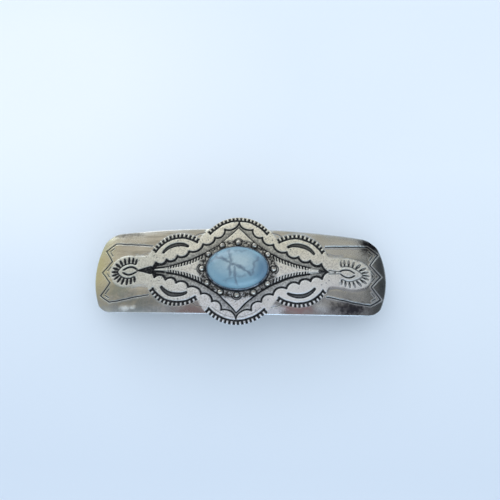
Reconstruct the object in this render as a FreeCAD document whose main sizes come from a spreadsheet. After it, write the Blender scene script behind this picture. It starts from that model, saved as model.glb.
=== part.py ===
"""Arched bar barrette: a struck front plate with a stone, on a sprung steel hair clip.

Frame, in millimetres: +X along the bar, +Y across it, +Z up through the stone. The barrette lies
on its clip, plate up, and the origin is the centre of the surface it lies on. The hinge is at -X
and the catch at +X.
"""
import FreeCAD, Part
import math
import os
import Sketcher

# Driving dimensions: (alias, value in mm or degrees, what it is).
DIMENSIONS = [
    ("crown_height", 13.0, "height of the plate's face at the middle of the bar"),
    ("arch_radius", 168.5, "radius of the plate's face along the bar"),
    ("plate_thickness", 0.9, "thickness of the struck plate"),
    ("plate_length", 89.0, "tip to tip"),
    ("plate_corner_x", 41.0, "corners of the long edges and the end arcs, before rounding"),
    ("front_corner_y", 12.5, "front corners, before rounding"),
    ("rear_hinge_corner_y", 12.5, "rear corner at the hinge end, before rounding"),
    ("rear_catch_corner_y", 11.3, "rear corner at the catch end, where the bar is cut a little narrower"),
    ("front_corner_rounding", 2.4, "radius of the front corners"),
    ("rear_corner_rounding", 3.2, "radius of the rear corners"),
    ("edge_radius", 800.0, "slight bow of the long edges"),
    ("lobe_radius", 11.9, "radius of the two middle lobes"),
    ("lobe_centre_y", 4.72, "centre of a middle lobe, from the bar's middle line"),
    ("front_lobe_x", 8.0, "where the front lobe leaves the front edge"),
    ("rear_lobe_hinge_x", 8.6, "where the rear lobe leaves the rear edge, towards the hinge"),
    ("rear_lobe_catch_x", 8.8, "where the rear lobe leaves the rear edge, towards the catch"),
    ("crescent_depth", 0.3, "depth of the four crescent recesses"),
    ("crescent_radius", 5.9, "outer radius of a crescent"),
    ("crescent_centre_x", 17.9, "centre of a crescent's outer arc"),
    ("crescent_centre_y", 2.7, "centre of a crescent's outer arc"),
    ("crescent_width", 1.4, "width at the middle of a crescent"),
    ("crescent_tip_width", 0.9, "width at the ends of a crescent"),
    ("crescent_direction", 77.0, "direction of a crescent's middle, from +X"),
    ("crescent_half_angle", 46.0, "half the angle that a crescent spans"),
    ("stone_length", 18.0, "standard oval cabochon"),
    ("stone_width", 13.0, "standard oval cabochon"),
    ("stone_height", 4.1, "dome height above the plate"),
    ("bezel_wall", 0.35, "thickness of the stone's cup"),
    ("bezel_height", 1.05, "height of the cup above the plate"),
    ("bezel_clearance", 0.03, "room around the stone"),
    ("bead_diameter", 1.55, "each border bead"),
    ("bead_rise", 0.3, "bead centre above the plate's face"),
    ("bead_oval_length", 21.1, "long axis of the oval that the beads stand on"),
    ("bead_oval_width", 16.1, "short axis of the oval that the beads stand on"),
    ("solder_gap", 0.02, "film between the plate and the clip"),
    ("strip_thickness", 0.8, "steel of the clip's base"),
    ("strip_length", 77.0, "clip base, end to end"),
    ("strip_width", 9.0, "clip base and the outside of its ears"),
    ("strip_end_rounding", 2.5, "corner radius of the clip base"),
    ("ear_length", 5.4, "each hinge ear, along the bar"),
    ("ear_rounding", 1.2, "lower corners of the ears"),
    ("pin_x", -35.5, "hinge axis"),
    ("pin_height", 3.0, "hinge axis above the surface"),
    ("pin_diameter", 1.2, "hinge pin"),
    ("pin_head_diameter", 2.0, "peened heads of the hinge pin"),
    ("pin_head_height", 0.3, "peened heads of the hinge pin"),
    ("pin_fit_in_ears", 0.01, "radial clearance of the pin in the ears"),
    ("pin_fit_in_arm", 0.06, "radial clearance of the arm on the pin"),
    ("stud_x", 30.5, "each stud's distance from the middle, along the arch"),
    ("stud_diameter", 2.0, "studs that hold the plate"),
    ("stud_head_diameter", 3.4, "peened heads under the clip base"),
    ("stud_head_height", 0.7, "peened heads under the clip base"),
    ("stud_fit", 0.05, "radial clearance of the studs in the clip base"),
    ("spring_thickness", 0.35, "bow spring"),
    ("spring_width", 4.5, "bow spring"),
    ("spring_length", 51.0, "bow spring"),
    ("spring_middle_height", 7.35, "underside of the bow spring at the middle"),
    ("spring_bow", 0.8, "how much higher the spring's ends are"),
    ("spring_end_rounding", 1.35, "corner radius of the bow spring"),
    ("tongue_top", 7.93, "upper face of the tongues under the spring's ends"),
    ("tongue_thickness", 0.5, "each tongue"),
    ("tongue_width", 2.4, "each tongue"),
    ("tongue_inner_x", 23.6, "free end of a tongue"),
    ("tongue_root_x", 27.2, "where a tongue leaves the base"),
    ("tongue_root_overlap", 0.1, "how far a tongue's root reaches into the base"),
    ("tongue_window_width", 3.0, "opening that a tongue was pressed from"),
    ("tongue_window_x", 22.4, "inner end of that opening"),
    ("arm_width", 7.1, "outside of the arm's channel"),
    ("arm_sheet", 0.7, "steel of the arm"),
    ("arm_end_x", 38.8, "free end of the arm"),
    ("arm_end_height", 2.5, "upper face of the arm at its ends"),
    ("arm_arch_radius", 1620.0, "gentle arch of the arm"),
    ("arm_flange_foot", 0.7, "lower edge of the flanges at their ends"),
    ("arm_flange_end_x", 31.5, "where the flanges stop, before the catch"),
    ("arm_flange_run", 1.5, "slope at the end of the flanges"),
    ("arm_lug_radius", 1.9, "lugs around the hinge pin"),
    ("arm_lug_slope", 1.0, "run of the slope from a lug down to its flange"),
    ("arm_web_start_x", -32.6, "where the arm's web starts, beside the hinge"),
    ("arm_end_rounding", 2.2, "corner radius at the free end"),
    ("window_start_x", 33.0, "window for the prongs"),
    ("window_end_x", 37.0, "window for the prongs"),
    ("window_width", 5.0, "window for the prongs"),
    ("prong_x", 35.0, "middle of the prongs"),
    ("prong_width", 2.4, "prongs, along the bar"),
    ("prong_thickness", 0.5, "prongs, across the bar"),
    ("prong_outer_y", 1.9, "outer face of a prong"),
    ("barb_outer_y", 2.85, "point of a barb, under the edge of the window"),
    ("barb_shoulder", 1.68, "upper face of the barbs, under the arm"),
    ("barb_edge", 1.25, "lower corner of the barbs"),
    ("prong_root_gap", 0.06, "room above a prong's root for it to flex"),
    ("catch_seat_height", 7.2, "underside of the flat seat that the prongs hang from"),
    ("catch_seat_length", 3.6, "catch seat, along the bar"),
    ("catch_seat_width", 5.2, "catch seat, across the bar"),
]

BEAD_COUNT = 12
CUT_DEPTH = "60"  # deeper than any piece, for cuts that go right through
OVERLAP = "1"  # how far a cut or a blank runs past what it must clear
RECESS_HEADROOM = 3  # from a crescent's flat floor to above the arched face
PLACE_TOLERANCE = 0.5
UPRIGHT_RATIO = 4  # an edge this much taller than it is wide stands upright
SAME_LENGTH = 1e-6  # two lengths closer than this are equal
SAME_VOLUME_SHARE = 0.01  # mirrored cuts may differ by this share of what they all remove
OVAL_STEPS = 3600  # steps that an oval's length is added up in

BLANK_WIDTH = "(4 * dims.lobe_radius)"  # wider than the plate over its lobes
STUD_BORE_LENGTH = "(3 * dims.strip_thickness)"  # clears the arched strip on both sides
ARCH_CENTRE = "(dims.crown_height - dims.arch_radius)"
PLATE_UNDER = "(dims.arch_radius - dims.plate_thickness)"
STRIP_OUTER = f"({PLATE_UNDER} - dims.solder_gap)"
STRIP_INNER = f"({STRIP_OUTER} - dims.strip_thickness)"
STRIP_MIDDLE = f"({STRIP_OUTER} - dims.strip_thickness / 2)"

document = FreeCAD.newDocument("barrette")
sheet = document.addObject("Spreadsheet::Sheet", "dims")
for row, (alias, size, meaning) in enumerate(DIMENSIONS, start=1):
    sheet.set(f"A{row}", meaning)
    sheet.set(f"B{row}", str(size))
    sheet.setAlias(f"B{row}", alias)
document.recompute()


def value(expression):
    """The number that an expression over the sheet gives."""
    return float(sheet.evalExpression(expression))


def arch_height(radius, x):
    """Height at x on a circle of that radius about the arch's centre."""
    return f"({ARCH_CENTRE} + sqrt({radius}^2 - ({x})^2))"


# ---- sketches and features ----

def new_body(name):
    """An empty body whose label names its file."""
    body = document.addObject("PartDesign::Body", name)
    body.Label = name
    return body


def origin_feature(body, role):
    """One of the body's own origin planes or axes."""
    return next(feature for feature in body.Origin.OriginFeatures if feature.Role == role)


def new_sketch(body, name, role, offset=None):
    """A sketch on one of the body's origin planes, moved along its normal by offset."""
    sketch = body.newObject("Sketcher::SketchObject", name)
    sketch.AttachmentSupport = [(origin_feature(body, role), "")]
    sketch.MapMode = "FlatFace"
    if offset is not None:
        sketch.setExpression("AttachmentOffset.Base.z", offset)
    return sketch


def new_arch_sketch(body, name, radius, x):
    """A sketch square to the arch's radius through x, at that radius from the arch's centre."""
    sketch = new_sketch(body, name, "XY_Plane")
    tilt = f"asin({x} / dims.arch_radius)"
    sketch.AttachmentOffset = FreeCAD.Placement(
        FreeCAD.Vector(), FreeCAD.Rotation(FreeCAD.Vector(0, 1, 0), value(tilt)))
    sketch.setExpression("AttachmentOffset.Rotation.Angle", tilt)
    sketch.setExpression("AttachmentOffset.Base.x", f"({radius}) * {x} / dims.arch_radius")
    sketch.setExpression("AttachmentOffset.Base.z", f"{ARCH_CENTRE} + ({radius}) * cos({tilt})")
    return sketch


def bind(sketch, constraint, expression):
    """Adds a constraint and ties its size to the sheet."""
    index = sketch.addConstraint(constraint)
    sketch.setExpression(f"Constraints[{index}]", expression)


def place_point(sketch, geometry, end, x, y):
    """Fixes a point of the sketch at x, y, both expressions."""
    bind(sketch, Sketcher.Constraint("DistanceX", -1, 1, geometry, end, value(x)), x)
    bind(sketch, Sketcher.Constraint("DistanceY", -1, 1, geometry, end, value(y)), y)


def add_circle(sketch, x, y, radius):
    """A circle about x, y."""
    centre = FreeCAD.Vector(value(x), value(y), 0)
    circle = Part.Circle(centre, FreeCAD.Vector(0, 0, 1), value(radius))
    geometry = sketch.addGeometry(circle)
    place_point(sketch, geometry, 3, x, y)
    bind(sketch, Sketcher.Constraint("Radius", geometry, value(radius)), radius)


def add_outline(sketch, corners, bends=None):
    """A closed outline through corners, with arcs where bends says so.

    corners are pairs of expressions. bends maps the number of a side to (radius, way): way is
    +1 where the arc bulges to the right of the direction of travel and -1 where to the left.
    A half circle is held by its centre, because its radius already follows from its two ends.
    """
    bends = bends or {}
    points = [FreeCAD.Vector(value(x), value(y), 0) for x, y in corners]
    starts = []
    ends = []
    for side, start in enumerate(points):
        end = points[(side + 1) % len(points)]
        if side not in bends:
            geometry = sketch.addGeometry(Part.LineSegment(start, end))
            starts.append((geometry, 1))
            ends.append((geometry, 2))
            continue
        radius, way = bends[side]
        half_chord = start.distanceToPoint(end) / 2
        depth = value(radius) - math.sqrt(max(value(radius) ** 2 - half_chord ** 2, 0.0))
        along = (end - start).normalize()
        right = FreeCAD.Vector(along.y, -along.x, 0)
        middle = (start + end) / 2 + right * (depth * way)
        geometry = sketch.addGeometry(Part.Arc(start, middle, end))
        starts.append((geometry, 1 if way > 0 else 2))
        ends.append((geometry, 2 if way > 0 else 1))
    for side, (x, y) in enumerate(corners):
        geometry, end = ends[side - 1]
        sketch.addConstraint(Sketcher.Constraint("Coincident", geometry, end, *starts[side]))
        place_point(sketch, *starts[side], x, y)
    for side, (radius, way) in bends.items():
        geometry = starts[side][0]
        chord = points[side].distanceToPoint(points[(side + 1) % len(points)])
        if abs(chord - 2 * value(radius)) < SAME_LENGTH:
            sketch.addConstraint(Sketcher.Constraint("Symmetric", geometry, 1, geometry, 2, geometry, 3))
        else:
            bind(sketch, Sketcher.Constraint("Radius", geometry, value(radius)), radius)


def rectangle(left, bottom, right, top):
    """The corners of a rectangle, anticlockwise."""
    return [(left, bottom), (right, bottom), (right, top), (left, top)]


def extrude(body, kind, name, sketch, length):
    """A pad or pocket to both sides of its sketch, of that whole length."""
    feature = body.newObject(f"PartDesign::{kind}", name)
    feature.Profile = sketch
    feature.SideType = "Symmetric"
    feature.setExpression("Length", length)
    return feature


def revolve(body, sketch):
    """Turns a half section, drawn beside the sketch's vertical axis, into a solid."""
    feature = body.newObject("PartDesign::Revolution", f"{body.Name}_turned")
    feature.Profile = sketch
    feature.ReferenceAxis = (sketch, ["V_Axis"])
    feature.Angle = 360
    return feature


def upright_edges_near(feature, x, side):
    """Names of the feature's edges that stand upright near x; side is the sign of y, or 0 for both."""
    names = []
    for number, edge in enumerate(feature.Shape.Edges, start=1):
        box = edge.BoundBox
        upright = box.ZLength > UPRIGHT_RATIO * max(box.XLength, box.YLength)
        off_middle = abs(box.Center.y) if side == 0 else box.Center.y * side
        if upright and abs(box.Center.x - x) < PLACE_TOLERANCE and off_middle > PLACE_TOLERANCE:
            names.append(f"Edge{number}")
    return names


def round_corners(body, feature, places, radius, side=0):
    """Rounds the upright corners of the feature near each x in places."""
    document.recompute()
    names = [name for x in places for name in upright_edges_near(feature, value(x), side)]
    fillet = body.newObject("PartDesign::Fillet", f"{body.Name}_rounding")
    fillet.Base = (feature, names)
    fillet.setExpression("Radius", radius)
    return fillet


def add_arched_section(body, name, half_length, outer, inner):
    """Side view of a sheet that follows the arch, between two radii."""
    sketch = new_sketch(body, name, "XZ_Plane")
    left = f"-{half_length}"
    corners = [
        (left, arch_height(inner, half_length)),
        (half_length, arch_height(inner, half_length)),
        (half_length, arch_height(outer, half_length)),
        (left, arch_height(outer, half_length)),
    ]
    add_outline(sketch, corners, {0: (inner, -1), 2: (outer, 1)})
    return sketch


# ---- the ornament ----

def on_lobe(x, x_sign, y_sign):
    """The point of a middle lobe's arc at x."""
    return f"{x_sign}{x}", f"{y_sign}(dims.lobe_centre_y + sqrt(dims.lobe_radius^2 - {x}^2))"


def end_radius(rear_corner_y):
    """Radius of the arc over one end of the bar."""
    half_chord = f"((dims.front_corner_y + {rear_corner_y}) / 2)"
    depth = "(dims.plate_length / 2 - dims.plate_corner_x)"
    return f"(({half_chord}^2 + {depth}^2) / (2 * {depth}))"


def make_front_plate():
    """Struck plate: an arched sheet cut to the bar's outline, with four crescent recesses."""
    body = new_body("front_plate")
    section = add_arched_section(body, "plate_section", f"(dims.plate_length / 2 + {OVERLAP})",
                                 "dims.arch_radius", PLATE_UNDER)
    extrude(body, "Pad", "plate_sheet", section, BLANK_WIDTH)

    trim = new_sketch(body, "plate_outline", "XY_Plane")
    reach = "(dims.plate_length)"
    add_outline(trim, rectangle(f"-{reach}", f"-{reach}", reach, reach))
    corner_x = "dims.plate_corner_x"
    front = "dims.front_corner_y"
    rear_hinge = "dims.rear_hinge_corner_y"
    rear_catch = "dims.rear_catch_corner_y"
    corners = [(corner_x, f"-{front}"), (corner_x, rear_catch)]
    corners += [on_lobe("dims.rear_lobe_catch_x", "", ""), on_lobe("dims.rear_lobe_hinge_x", "-", "")]
    corners += [(f"-{corner_x}", rear_hinge), (f"-{corner_x}", f"-{front}")]
    corners += [on_lobe("dims.front_lobe_x", "-", "-"), on_lobe("dims.front_lobe_x", "", "-")]
    edge = ("dims.edge_radius", 1)
    lobe = ("dims.lobe_radius", 1)
    add_outline(trim, corners, {
        0: (end_radius(rear_catch), 1), 1: edge, 2: lobe, 3: edge,
        4: (end_radius(rear_hinge), 1), 5: edge, 6: lobe, 7: edge,
    })
    blank = extrude(body, "Pocket", "plate_trim", trim, CUT_DEPTH)
    ends = [corner_x, f"-{corner_x}"]
    rounded = round_corners(body, blank, ends, "dims.front_corner_rounding", -1)
    rounded = round_corners(body, rounded, ends, "dims.rear_corner_rounding", 1)
    add_crescents(body, rounded)
    return body


def add_crescents(body, plate):
    """Four mirrored crescent recesses, each as deep all over as the arch allows."""
    document.recompute()
    solid_volume = plate.Shape.Volume
    centre = "dims.crescent_centre_x"
    floor = "(dims.arch_radius - dims.crescent_depth)"
    outline = new_arch_sketch(body, "crescent_outline", floor, centre)
    outer = "dims.crescent_radius"
    tip_inner = "(dims.crescent_radius - dims.crescent_tip_width)"
    start = "(dims.crescent_direction - dims.crescent_half_angle) * 1deg"
    finish = "(dims.crescent_direction + dims.crescent_half_angle) * 1deg"
    half_angle = "(dims.crescent_half_angle * 1deg)"
    corners = [
        (f"{radius} * cos({angle})", f"(dims.crescent_centre_y + {radius} * sin({angle}))")
        for radius, angle in ((outer, start), (outer, finish), (tip_inner, finish), (tip_inner, start))
    ]
    half_chord = f"({tip_inner} * sin{half_angle})"
    rise = f"(dims.crescent_radius - dims.crescent_width - {tip_inner} * cos{half_angle})"
    inner = f"(({half_chord}^2 + {rise}^2) / (2 * {rise}))"
    tip = "(dims.crescent_tip_width / 2)"
    add_outline(outline, corners, {0: (outer, 1), 1: (tip, 1), 2: (inner, -1), 3: (tip, 1)})
    recess = body.newObject("PartDesign::Pocket", "crescent")
    recess.Profile = outline
    recess.Reversed = True
    recess.Length = RECESS_HEADROOM
    document.recompute()
    one_recess = solid_volume - recess.Shape.Volume

    four = body.newObject("PartDesign::MultiTransform", "crescents")
    four.Originals = [recess]
    mirrors = []
    for role in ("XZ_Plane", "YZ_Plane"):
        mirror = body.newObject("PartDesign::Mirrored", f"crescents_across_{role}")
        mirror.MirrorPlane = (origin_feature(body, role), [""])
        mirrors.append(mirror)
    four.Transformations = mirrors
    body.Tip = four
    document.recompute()
    removed = solid_volume - four.Shape.Volume
    if one_recess <= 0 or abs(removed - 4 * one_recess) > SAME_VOLUME_SHARE * removed:
        raise RuntimeError(f"the crescents removed {removed} mm3, one alone {one_recess} mm3")


def make_arch_tool(name):
    """Solid roller of the plate's face radius, which cuts what stands on the plate to its curve."""
    roller = document.addObject("Part::Cylinder", name)
    roller.setExpression("Radius", "dims.arch_radius")
    roller.setExpression("Height", "2 * dims.lobe_radius")
    roller.Placement.Rotation = FreeCAD.Rotation(FreeCAD.Vector(1, 0, 0), -90)
    roller.setExpression("Placement.Base.y", "-dims.lobe_radius")
    roller.setExpression("Placement.Base.z", ARCH_CENTRE)
    return roller


def make_oval_block(name, length, width, bottom, top):
    """Upright oval block between two heights."""
    oval = document.addObject("Part::Ellipse", f"{name}_oval")
    oval.setExpression("MajorRadius", f"{length} / 2")
    oval.setExpression("MinorRadius", f"{width} / 2")
    oval.setExpression("Placement.Base.z", bottom)
    block = document.addObject("Part::Extrusion", name)
    block.Base = oval
    block.DirMode = "Custom"
    block.Dir = FreeCAD.Vector(0, 0, 1)
    block.Solid = True
    block.setExpression("LengthFwd", f"{top} - {bottom}")
    return block


def subtract(name, base, tool):
    """Base with tool cut away."""
    cut = document.addObject("Part::Cut", name)
    cut.Base = base
    cut.Tool = tool
    return cut


def make_stone_bezel():
    """Thin oval cup wall, soldered to the arched face."""
    bottom = f"(dims.crown_height - {OVERLAP})"
    top = "(dims.crown_height + dims.bezel_height)"
    inner_length = "(dims.stone_length + 2 * dims.bezel_clearance)"
    inner_width = "(dims.stone_width + 2 * dims.bezel_clearance)"
    outer_length = f"({inner_length} + 2 * dims.bezel_wall)"
    outer_width = f"({inner_width} + 2 * dims.bezel_wall)"
    outer = make_oval_block("bezel_outside", outer_length, outer_width, bottom, top)
    inner = make_oval_block("bezel_inside", inner_length, inner_width, bottom, top)
    ring = subtract("bezel_ring", outer, inner)
    bezel = subtract("stone_bezel", ring, make_arch_tool("bezel_seat"))
    bezel.Label = "stone_bezel"
    return bezel


def make_cabochon():
    """Oval domed stone, flat underneath."""
    stone = document.addObject("Part::Ellipsoid", "cabochon")
    stone.Label = "cabochon"
    stone.Angle1 = 0
    stone.setExpression("Radius1", "dims.stone_height - dims.solder_gap")
    stone.setExpression("Radius2", "dims.stone_length / 2")
    stone.setExpression("Radius3", "dims.stone_width / 2")
    stone.setExpression("Placement.Base.z", "dims.crown_height + dims.solder_gap")
    return stone


def even_angles_round_oval(half_length, half_width, count):
    """Oval parameters, in degrees, of count points spaced evenly along the oval."""
    travelled = [0.0]
    for step in range(OVAL_STEPS):
        turn = (step + 0.5) * 2 * math.pi / OVAL_STEPS
        speed = math.hypot(half_length * math.sin(turn), half_width * math.cos(turn))
        travelled.append(travelled[-1] + speed)
    angles = []
    for number in range(count):
        target = travelled[-1] * number / count
        step = next(index for index, length in enumerate(travelled) if length >= target)
        angles.append(step * 360 / OVAL_STEPS)
    return angles


def make_border_beads():
    """Round beads evenly spaced on an oval around the stone, seated on the arched face."""
    half_length = "(dims.bead_oval_length / 2)"
    half_width = "(dims.bead_oval_width / 2)"
    beads = []
    angles = even_angles_round_oval(value(half_length), value(half_width), BEAD_COUNT)
    for number, angle in enumerate(angles, start=1):
        bead = document.addObject("Part::Sphere", f"bead_{number}")
        bead.setExpression("Radius", "dims.bead_diameter / 2")
        x = f"{half_length} * cos({angle} deg)"
        bead.setExpression("Placement.Base.x", x)
        bead.setExpression("Placement.Base.y", f"{half_width} * sin({angle} deg)")
        bead.setExpression("Placement.Base.z", f"{arch_height('dims.arch_radius', x)} + dims.bead_rise")
        beads.append(bead)
    row = document.addObject("Part::Compound", "bead_row")
    row.Links = beads
    seated = subtract("border_beads", row, make_arch_tool("bead_seat"))
    seated.Label = "border_beads"
    return seated


# ---- the clip ----

def make_clip_base():
    """Arched strip with hinge ears, two lanced tongues and the flat seat of the catch."""
    body = new_body("clip_base")
    half_length = "(dims.strip_length / 2)"
    section = add_arched_section(body, "strip_section", half_length, STRIP_OUTER, STRIP_INNER)
    strip = extrude(body, "Pad", "strip", section, "dims.strip_width")
    round_corners(body, strip, [half_length, f"-{half_length}"], "dims.strip_end_rounding")

    left = "(dims.pin_x - dims.ear_length / 2)"
    right = "(dims.pin_x + dims.ear_length / 2)"
    rounding = "dims.ear_rounding"
    ears = new_sketch(body, "ear_outline", "XZ_Plane")
    corners = [
        (f"({left} + {rounding})", "0"), (f"({right} - {rounding})", "0"),
        (right, rounding), (right, arch_height(STRIP_MIDDLE, right)),
        (left, arch_height(STRIP_MIDDLE, left)), (left, rounding),
    ]
    add_outline(ears, corners, {1: (rounding, 1), 3: (STRIP_MIDDLE, 1), 5: (rounding, 1)})
    extrude(body, "Pad", "ear_block", ears, "dims.strip_width")

    inside = new_sketch(body, "ear_inside", "XZ_Plane")
    wide_left = f"({left} - {OVERLAP})"
    wide_right = f"({right} + {OVERLAP})"
    corners = [
        (wide_left, f"-{OVERLAP}"), (wide_right, f"-{OVERLAP}"),
        (wide_right, arch_height(STRIP_INNER, wide_right)), (wide_left, arch_height(STRIP_INNER, wide_left)),
    ]
    add_outline(inside, corners, {2: (STRIP_INNER, 1)})
    extrude(body, "Pocket", "ear_gap", inside, "dims.strip_width - 2 * dims.strip_thickness")

    pin_holes = new_sketch(body, "ear_holes", "XZ_Plane")
    add_circle(pin_holes, "dims.pin_x", "dims.pin_height", "(dims.pin_diameter / 2 + dims.pin_fit_in_ears)")
    extrude(body, "Pocket", "ear_bores", pin_holes, CUT_DEPTH)

    openings = new_sketch(body, "tongue_openings", "XY_Plane")
    half_window = "(dims.tongue_window_width / 2)"
    inner = "dims.tongue_window_x"
    outer = "(dims.tongue_root_x - dims.tongue_root_overlap)"
    add_outline(openings, rectangle(inner, f"-{half_window}", outer, half_window))
    add_outline(openings, rectangle(f"-{outer}", f"-{half_window}", f"-{inner}", half_window))
    extrude(body, "Pocket", "tongue_windows", openings, CUT_DEPTH)

    tongues = new_sketch(body, "tongue_outlines", "XZ_Plane")
    under = "(dims.tongue_top - dims.tongue_thickness)"
    step = "(dims.tongue_root_x - dims.tongue_thickness)"
    root = "dims.tongue_root_x"
    right_tongue = [
        ("dims.tongue_inner_x", under), (root, under), (root, arch_height(STRIP_MIDDLE, root)),
        (step, arch_height(STRIP_MIDDLE, step)), (step, "dims.tongue_top"),
        ("dims.tongue_inner_x", "dims.tongue_top"),
    ]
    left_tongue = [(f"-{x}", z) for x, z in reversed(right_tongue)]
    add_outline(tongues, right_tongue)
    add_outline(tongues, left_tongue)
    extrude(body, "Pad", "tongues", tongues, "dims.tongue_width")

    seat = new_sketch(body, "catch_seat_outline", "XZ_Plane")
    near = "(dims.prong_x - dims.catch_seat_length / 2)"
    far = "(dims.prong_x + dims.catch_seat_length / 2)"
    corners = [
        (near, "dims.catch_seat_height"), (far, "dims.catch_seat_height"),
        (far, arch_height(STRIP_MIDDLE, far)), (near, arch_height(STRIP_MIDDLE, near)),
    ]
    add_outline(seat, corners)
    extrude(body, "Pad", "catch_seat", seat, "dims.catch_seat_width")

    hole = "(dims.stud_diameter / 2 + dims.stud_fit)"
    for end, x in (("hinge", "(-dims.stud_x)"), ("catch", "dims.stud_x")):
        stud_hole = new_arch_sketch(body, f"stud_hole_{end}", STRIP_MIDDLE, x)
        add_circle(stud_hole, "0", "0", hole)
        extrude(body, "Pocket", f"stud_bore_{end}", stud_hole, STUD_BORE_LENGTH)
    return body


def make_stud(name, x):
    """Stud square to the arch, brazed under the plate, through the clip base and peened below it.

    Its own frame has its origin at the clip base's inner face, with +Z out along the arch's radius.
    """
    body = new_body(name)
    profile = new_sketch(body, f"{name}_section", "XZ_Plane")
    shank = "(dims.stud_diameter / 2)"
    head = "(dims.stud_head_diameter / 2)"
    crown = f"({shank} / 2)"
    under = "(-dims.solder_gap)"
    foot = f"({under} - dims.stud_head_height)"
    top = "(dims.strip_thickness + dims.solder_gap / 2)"
    corners = [("0", foot), (crown, foot), (head, under), (shank, under), (shank, top), ("0", top)]
    add_outline(profile, corners, {1: (head, 1)})
    revolve(body, profile)
    tilt = f"asin({x} / dims.arch_radius)"
    body.Placement.Rotation = FreeCAD.Rotation(FreeCAD.Vector(0, 1, 0), value(tilt))
    body.setExpression("Placement.Rotation.Angle", tilt)
    body.setExpression("Placement.Base.x", f"{STRIP_INNER} * {x} / dims.arch_radius")
    body.setExpression("Placement.Base.z", f"{ARCH_CENTRE} + {STRIP_INNER} * cos({tilt})")
    return body


def make_hinge_pin():
    """Pin through both ears, with a low head at each end."""
    body = new_body("hinge_pin")
    profile = new_sketch(body, "pin_section", "XY_Plane")
    shank = "(dims.pin_diameter / 2)"
    head = "(dims.pin_head_diameter / 2)"
    ear_face = "(dims.strip_width / 2 + dims.solder_gap)"
    end = f"({ear_face} + dims.pin_head_height)"
    corners = [
        ("0", f"-{end}"), (shank, f"-{end}"), (head, f"-{ear_face}"), (shank, f"-{ear_face}"),
        (shank, ear_face), (head, ear_face), (shank, end), ("0", end),
    ]
    add_outline(profile, corners)
    revolve(body, profile)
    body.setExpression("Placement.Base.x", "dims.pin_x")
    body.setExpression("Placement.Base.z", "dims.pin_height")
    return body


def make_clip_arm():
    """Channel that swings on the pin: a web with two flanges, two lugs and the catch's window."""
    body = new_body("clip_arm")
    lug = "dims.arm_lug_radius"
    web_under = "(dims.arm_end_height - dims.arm_sheet)"
    flange_start = "(dims.pin_x + dims.arm_lug_radius + dims.arm_lug_slope)"
    slope_end = "(dims.arm_flange_end_x + dims.arm_flange_run)"
    side_view = new_sketch(body, "arm_side", "XZ_Plane")
    corners = [
        ("dims.pin_x", f"(dims.pin_height - {lug})"),
        (flange_start, "dims.arm_flange_foot"),
        ("dims.arm_flange_end_x", "dims.arm_flange_foot"),
        (slope_end, web_under),
        ("dims.arm_end_x", web_under),
        ("dims.arm_end_x", "dims.arm_end_height"),
        ("dims.arm_web_start_x", "dims.arm_end_height"),
        ("dims.pin_x", f"(dims.pin_height + {lug})"),
    ]
    arch = "dims.arm_arch_radius"
    add_outline(side_view, corners, {1: (arch, -1), 5: (arch, 1), 7: (lug, 1)})
    extrude(body, "Pad", "arm_block", side_view, "dims.arm_width")

    inside = new_sketch(body, "arm_inside", "XZ_Plane")
    far_left = f"(dims.pin_x - 2 * {lug})"
    corners = [
        (far_left, f"-{OVERLAP}"), (slope_end, f"-{OVERLAP}"), (slope_end, web_under),
        ("dims.arm_web_start_x", web_under),
        ("dims.arm_web_start_x", f"(dims.pin_height + 2 * {lug})"),
        (far_left, f"(dims.pin_height + 2 * {lug})"),
    ]
    add_outline(inside, corners, {2: (f"({arch} - dims.arm_sheet)", 1)})
    extrude(body, "Pocket", "arm_channel", inside, "dims.arm_width - 2 * dims.arm_sheet")

    bore = new_sketch(body, "lug_bores", "XZ_Plane")
    add_circle(bore, "dims.pin_x", "dims.pin_height", "(dims.pin_diameter / 2 + dims.pin_fit_in_arm)")
    extrude(body, "Pocket", "lug_holes", bore, CUT_DEPTH)

    window = new_sketch(body, "window_outline", "XY_Plane")
    half_window = "(dims.window_width / 2)"
    add_outline(window, rectangle("dims.window_start_x", f"-{half_window}", "dims.window_end_x", half_window))
    catch_window = extrude(body, "Pocket", "catch_window", window, CUT_DEPTH)
    round_corners(body, catch_window, ["dims.arm_end_x"], "dims.arm_end_rounding")
    return body


def make_bow_spring():
    """Thin strip bowed towards the arm."""
    body = new_body("bow_spring")
    half_length = "(dims.spring_length / 2)"
    radius = f"(({half_length}^2 + dims.spring_bow^2) / (2 * dims.spring_bow))"
    under = "(dims.spring_middle_height + dims.spring_bow)"
    top = f"({under} + dims.spring_thickness)"
    side_view = new_sketch(body, "spring_side", "XZ_Plane")
    corners = rectangle(f"-{half_length}", under, half_length, top)
    add_outline(side_view, corners, {0: (radius, 1), 2: (radius, -1)})
    strip = extrude(body, "Pad", "spring_strip", side_view, "dims.spring_width")
    round_corners(body, strip, [half_length, f"-{half_length}"], "dims.spring_end_rounding")
    return body


def make_catch_prong(name, side):
    """Sprung leg with an outward barb. side is 1 for the rear prong and -1 for the front one."""
    body = new_body(name)
    outer = "dims.prong_outer_y"
    inner = "(dims.prong_outer_y - dims.prong_thickness)"
    barb = "dims.barb_outer_y"
    root = "(dims.catch_seat_height - dims.prong_root_gap)"
    across = [
        (inner, "0"), (outer, "0"), (barb, "dims.barb_edge"), (barb, "dims.barb_shoulder"),
        (outer, "dims.barb_shoulder"), (outer, root), (inner, root),
    ]
    if side < 0:
        across = [(f"-{y}", z) for y, z in reversed(across)]
    leg = new_sketch(body, f"{name}_section", "YZ_Plane", "dims.prong_x")
    add_outline(leg, across)
    extrude(body, "Pad", f"{name}_leg", leg, "dims.prong_width")
    return body


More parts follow.
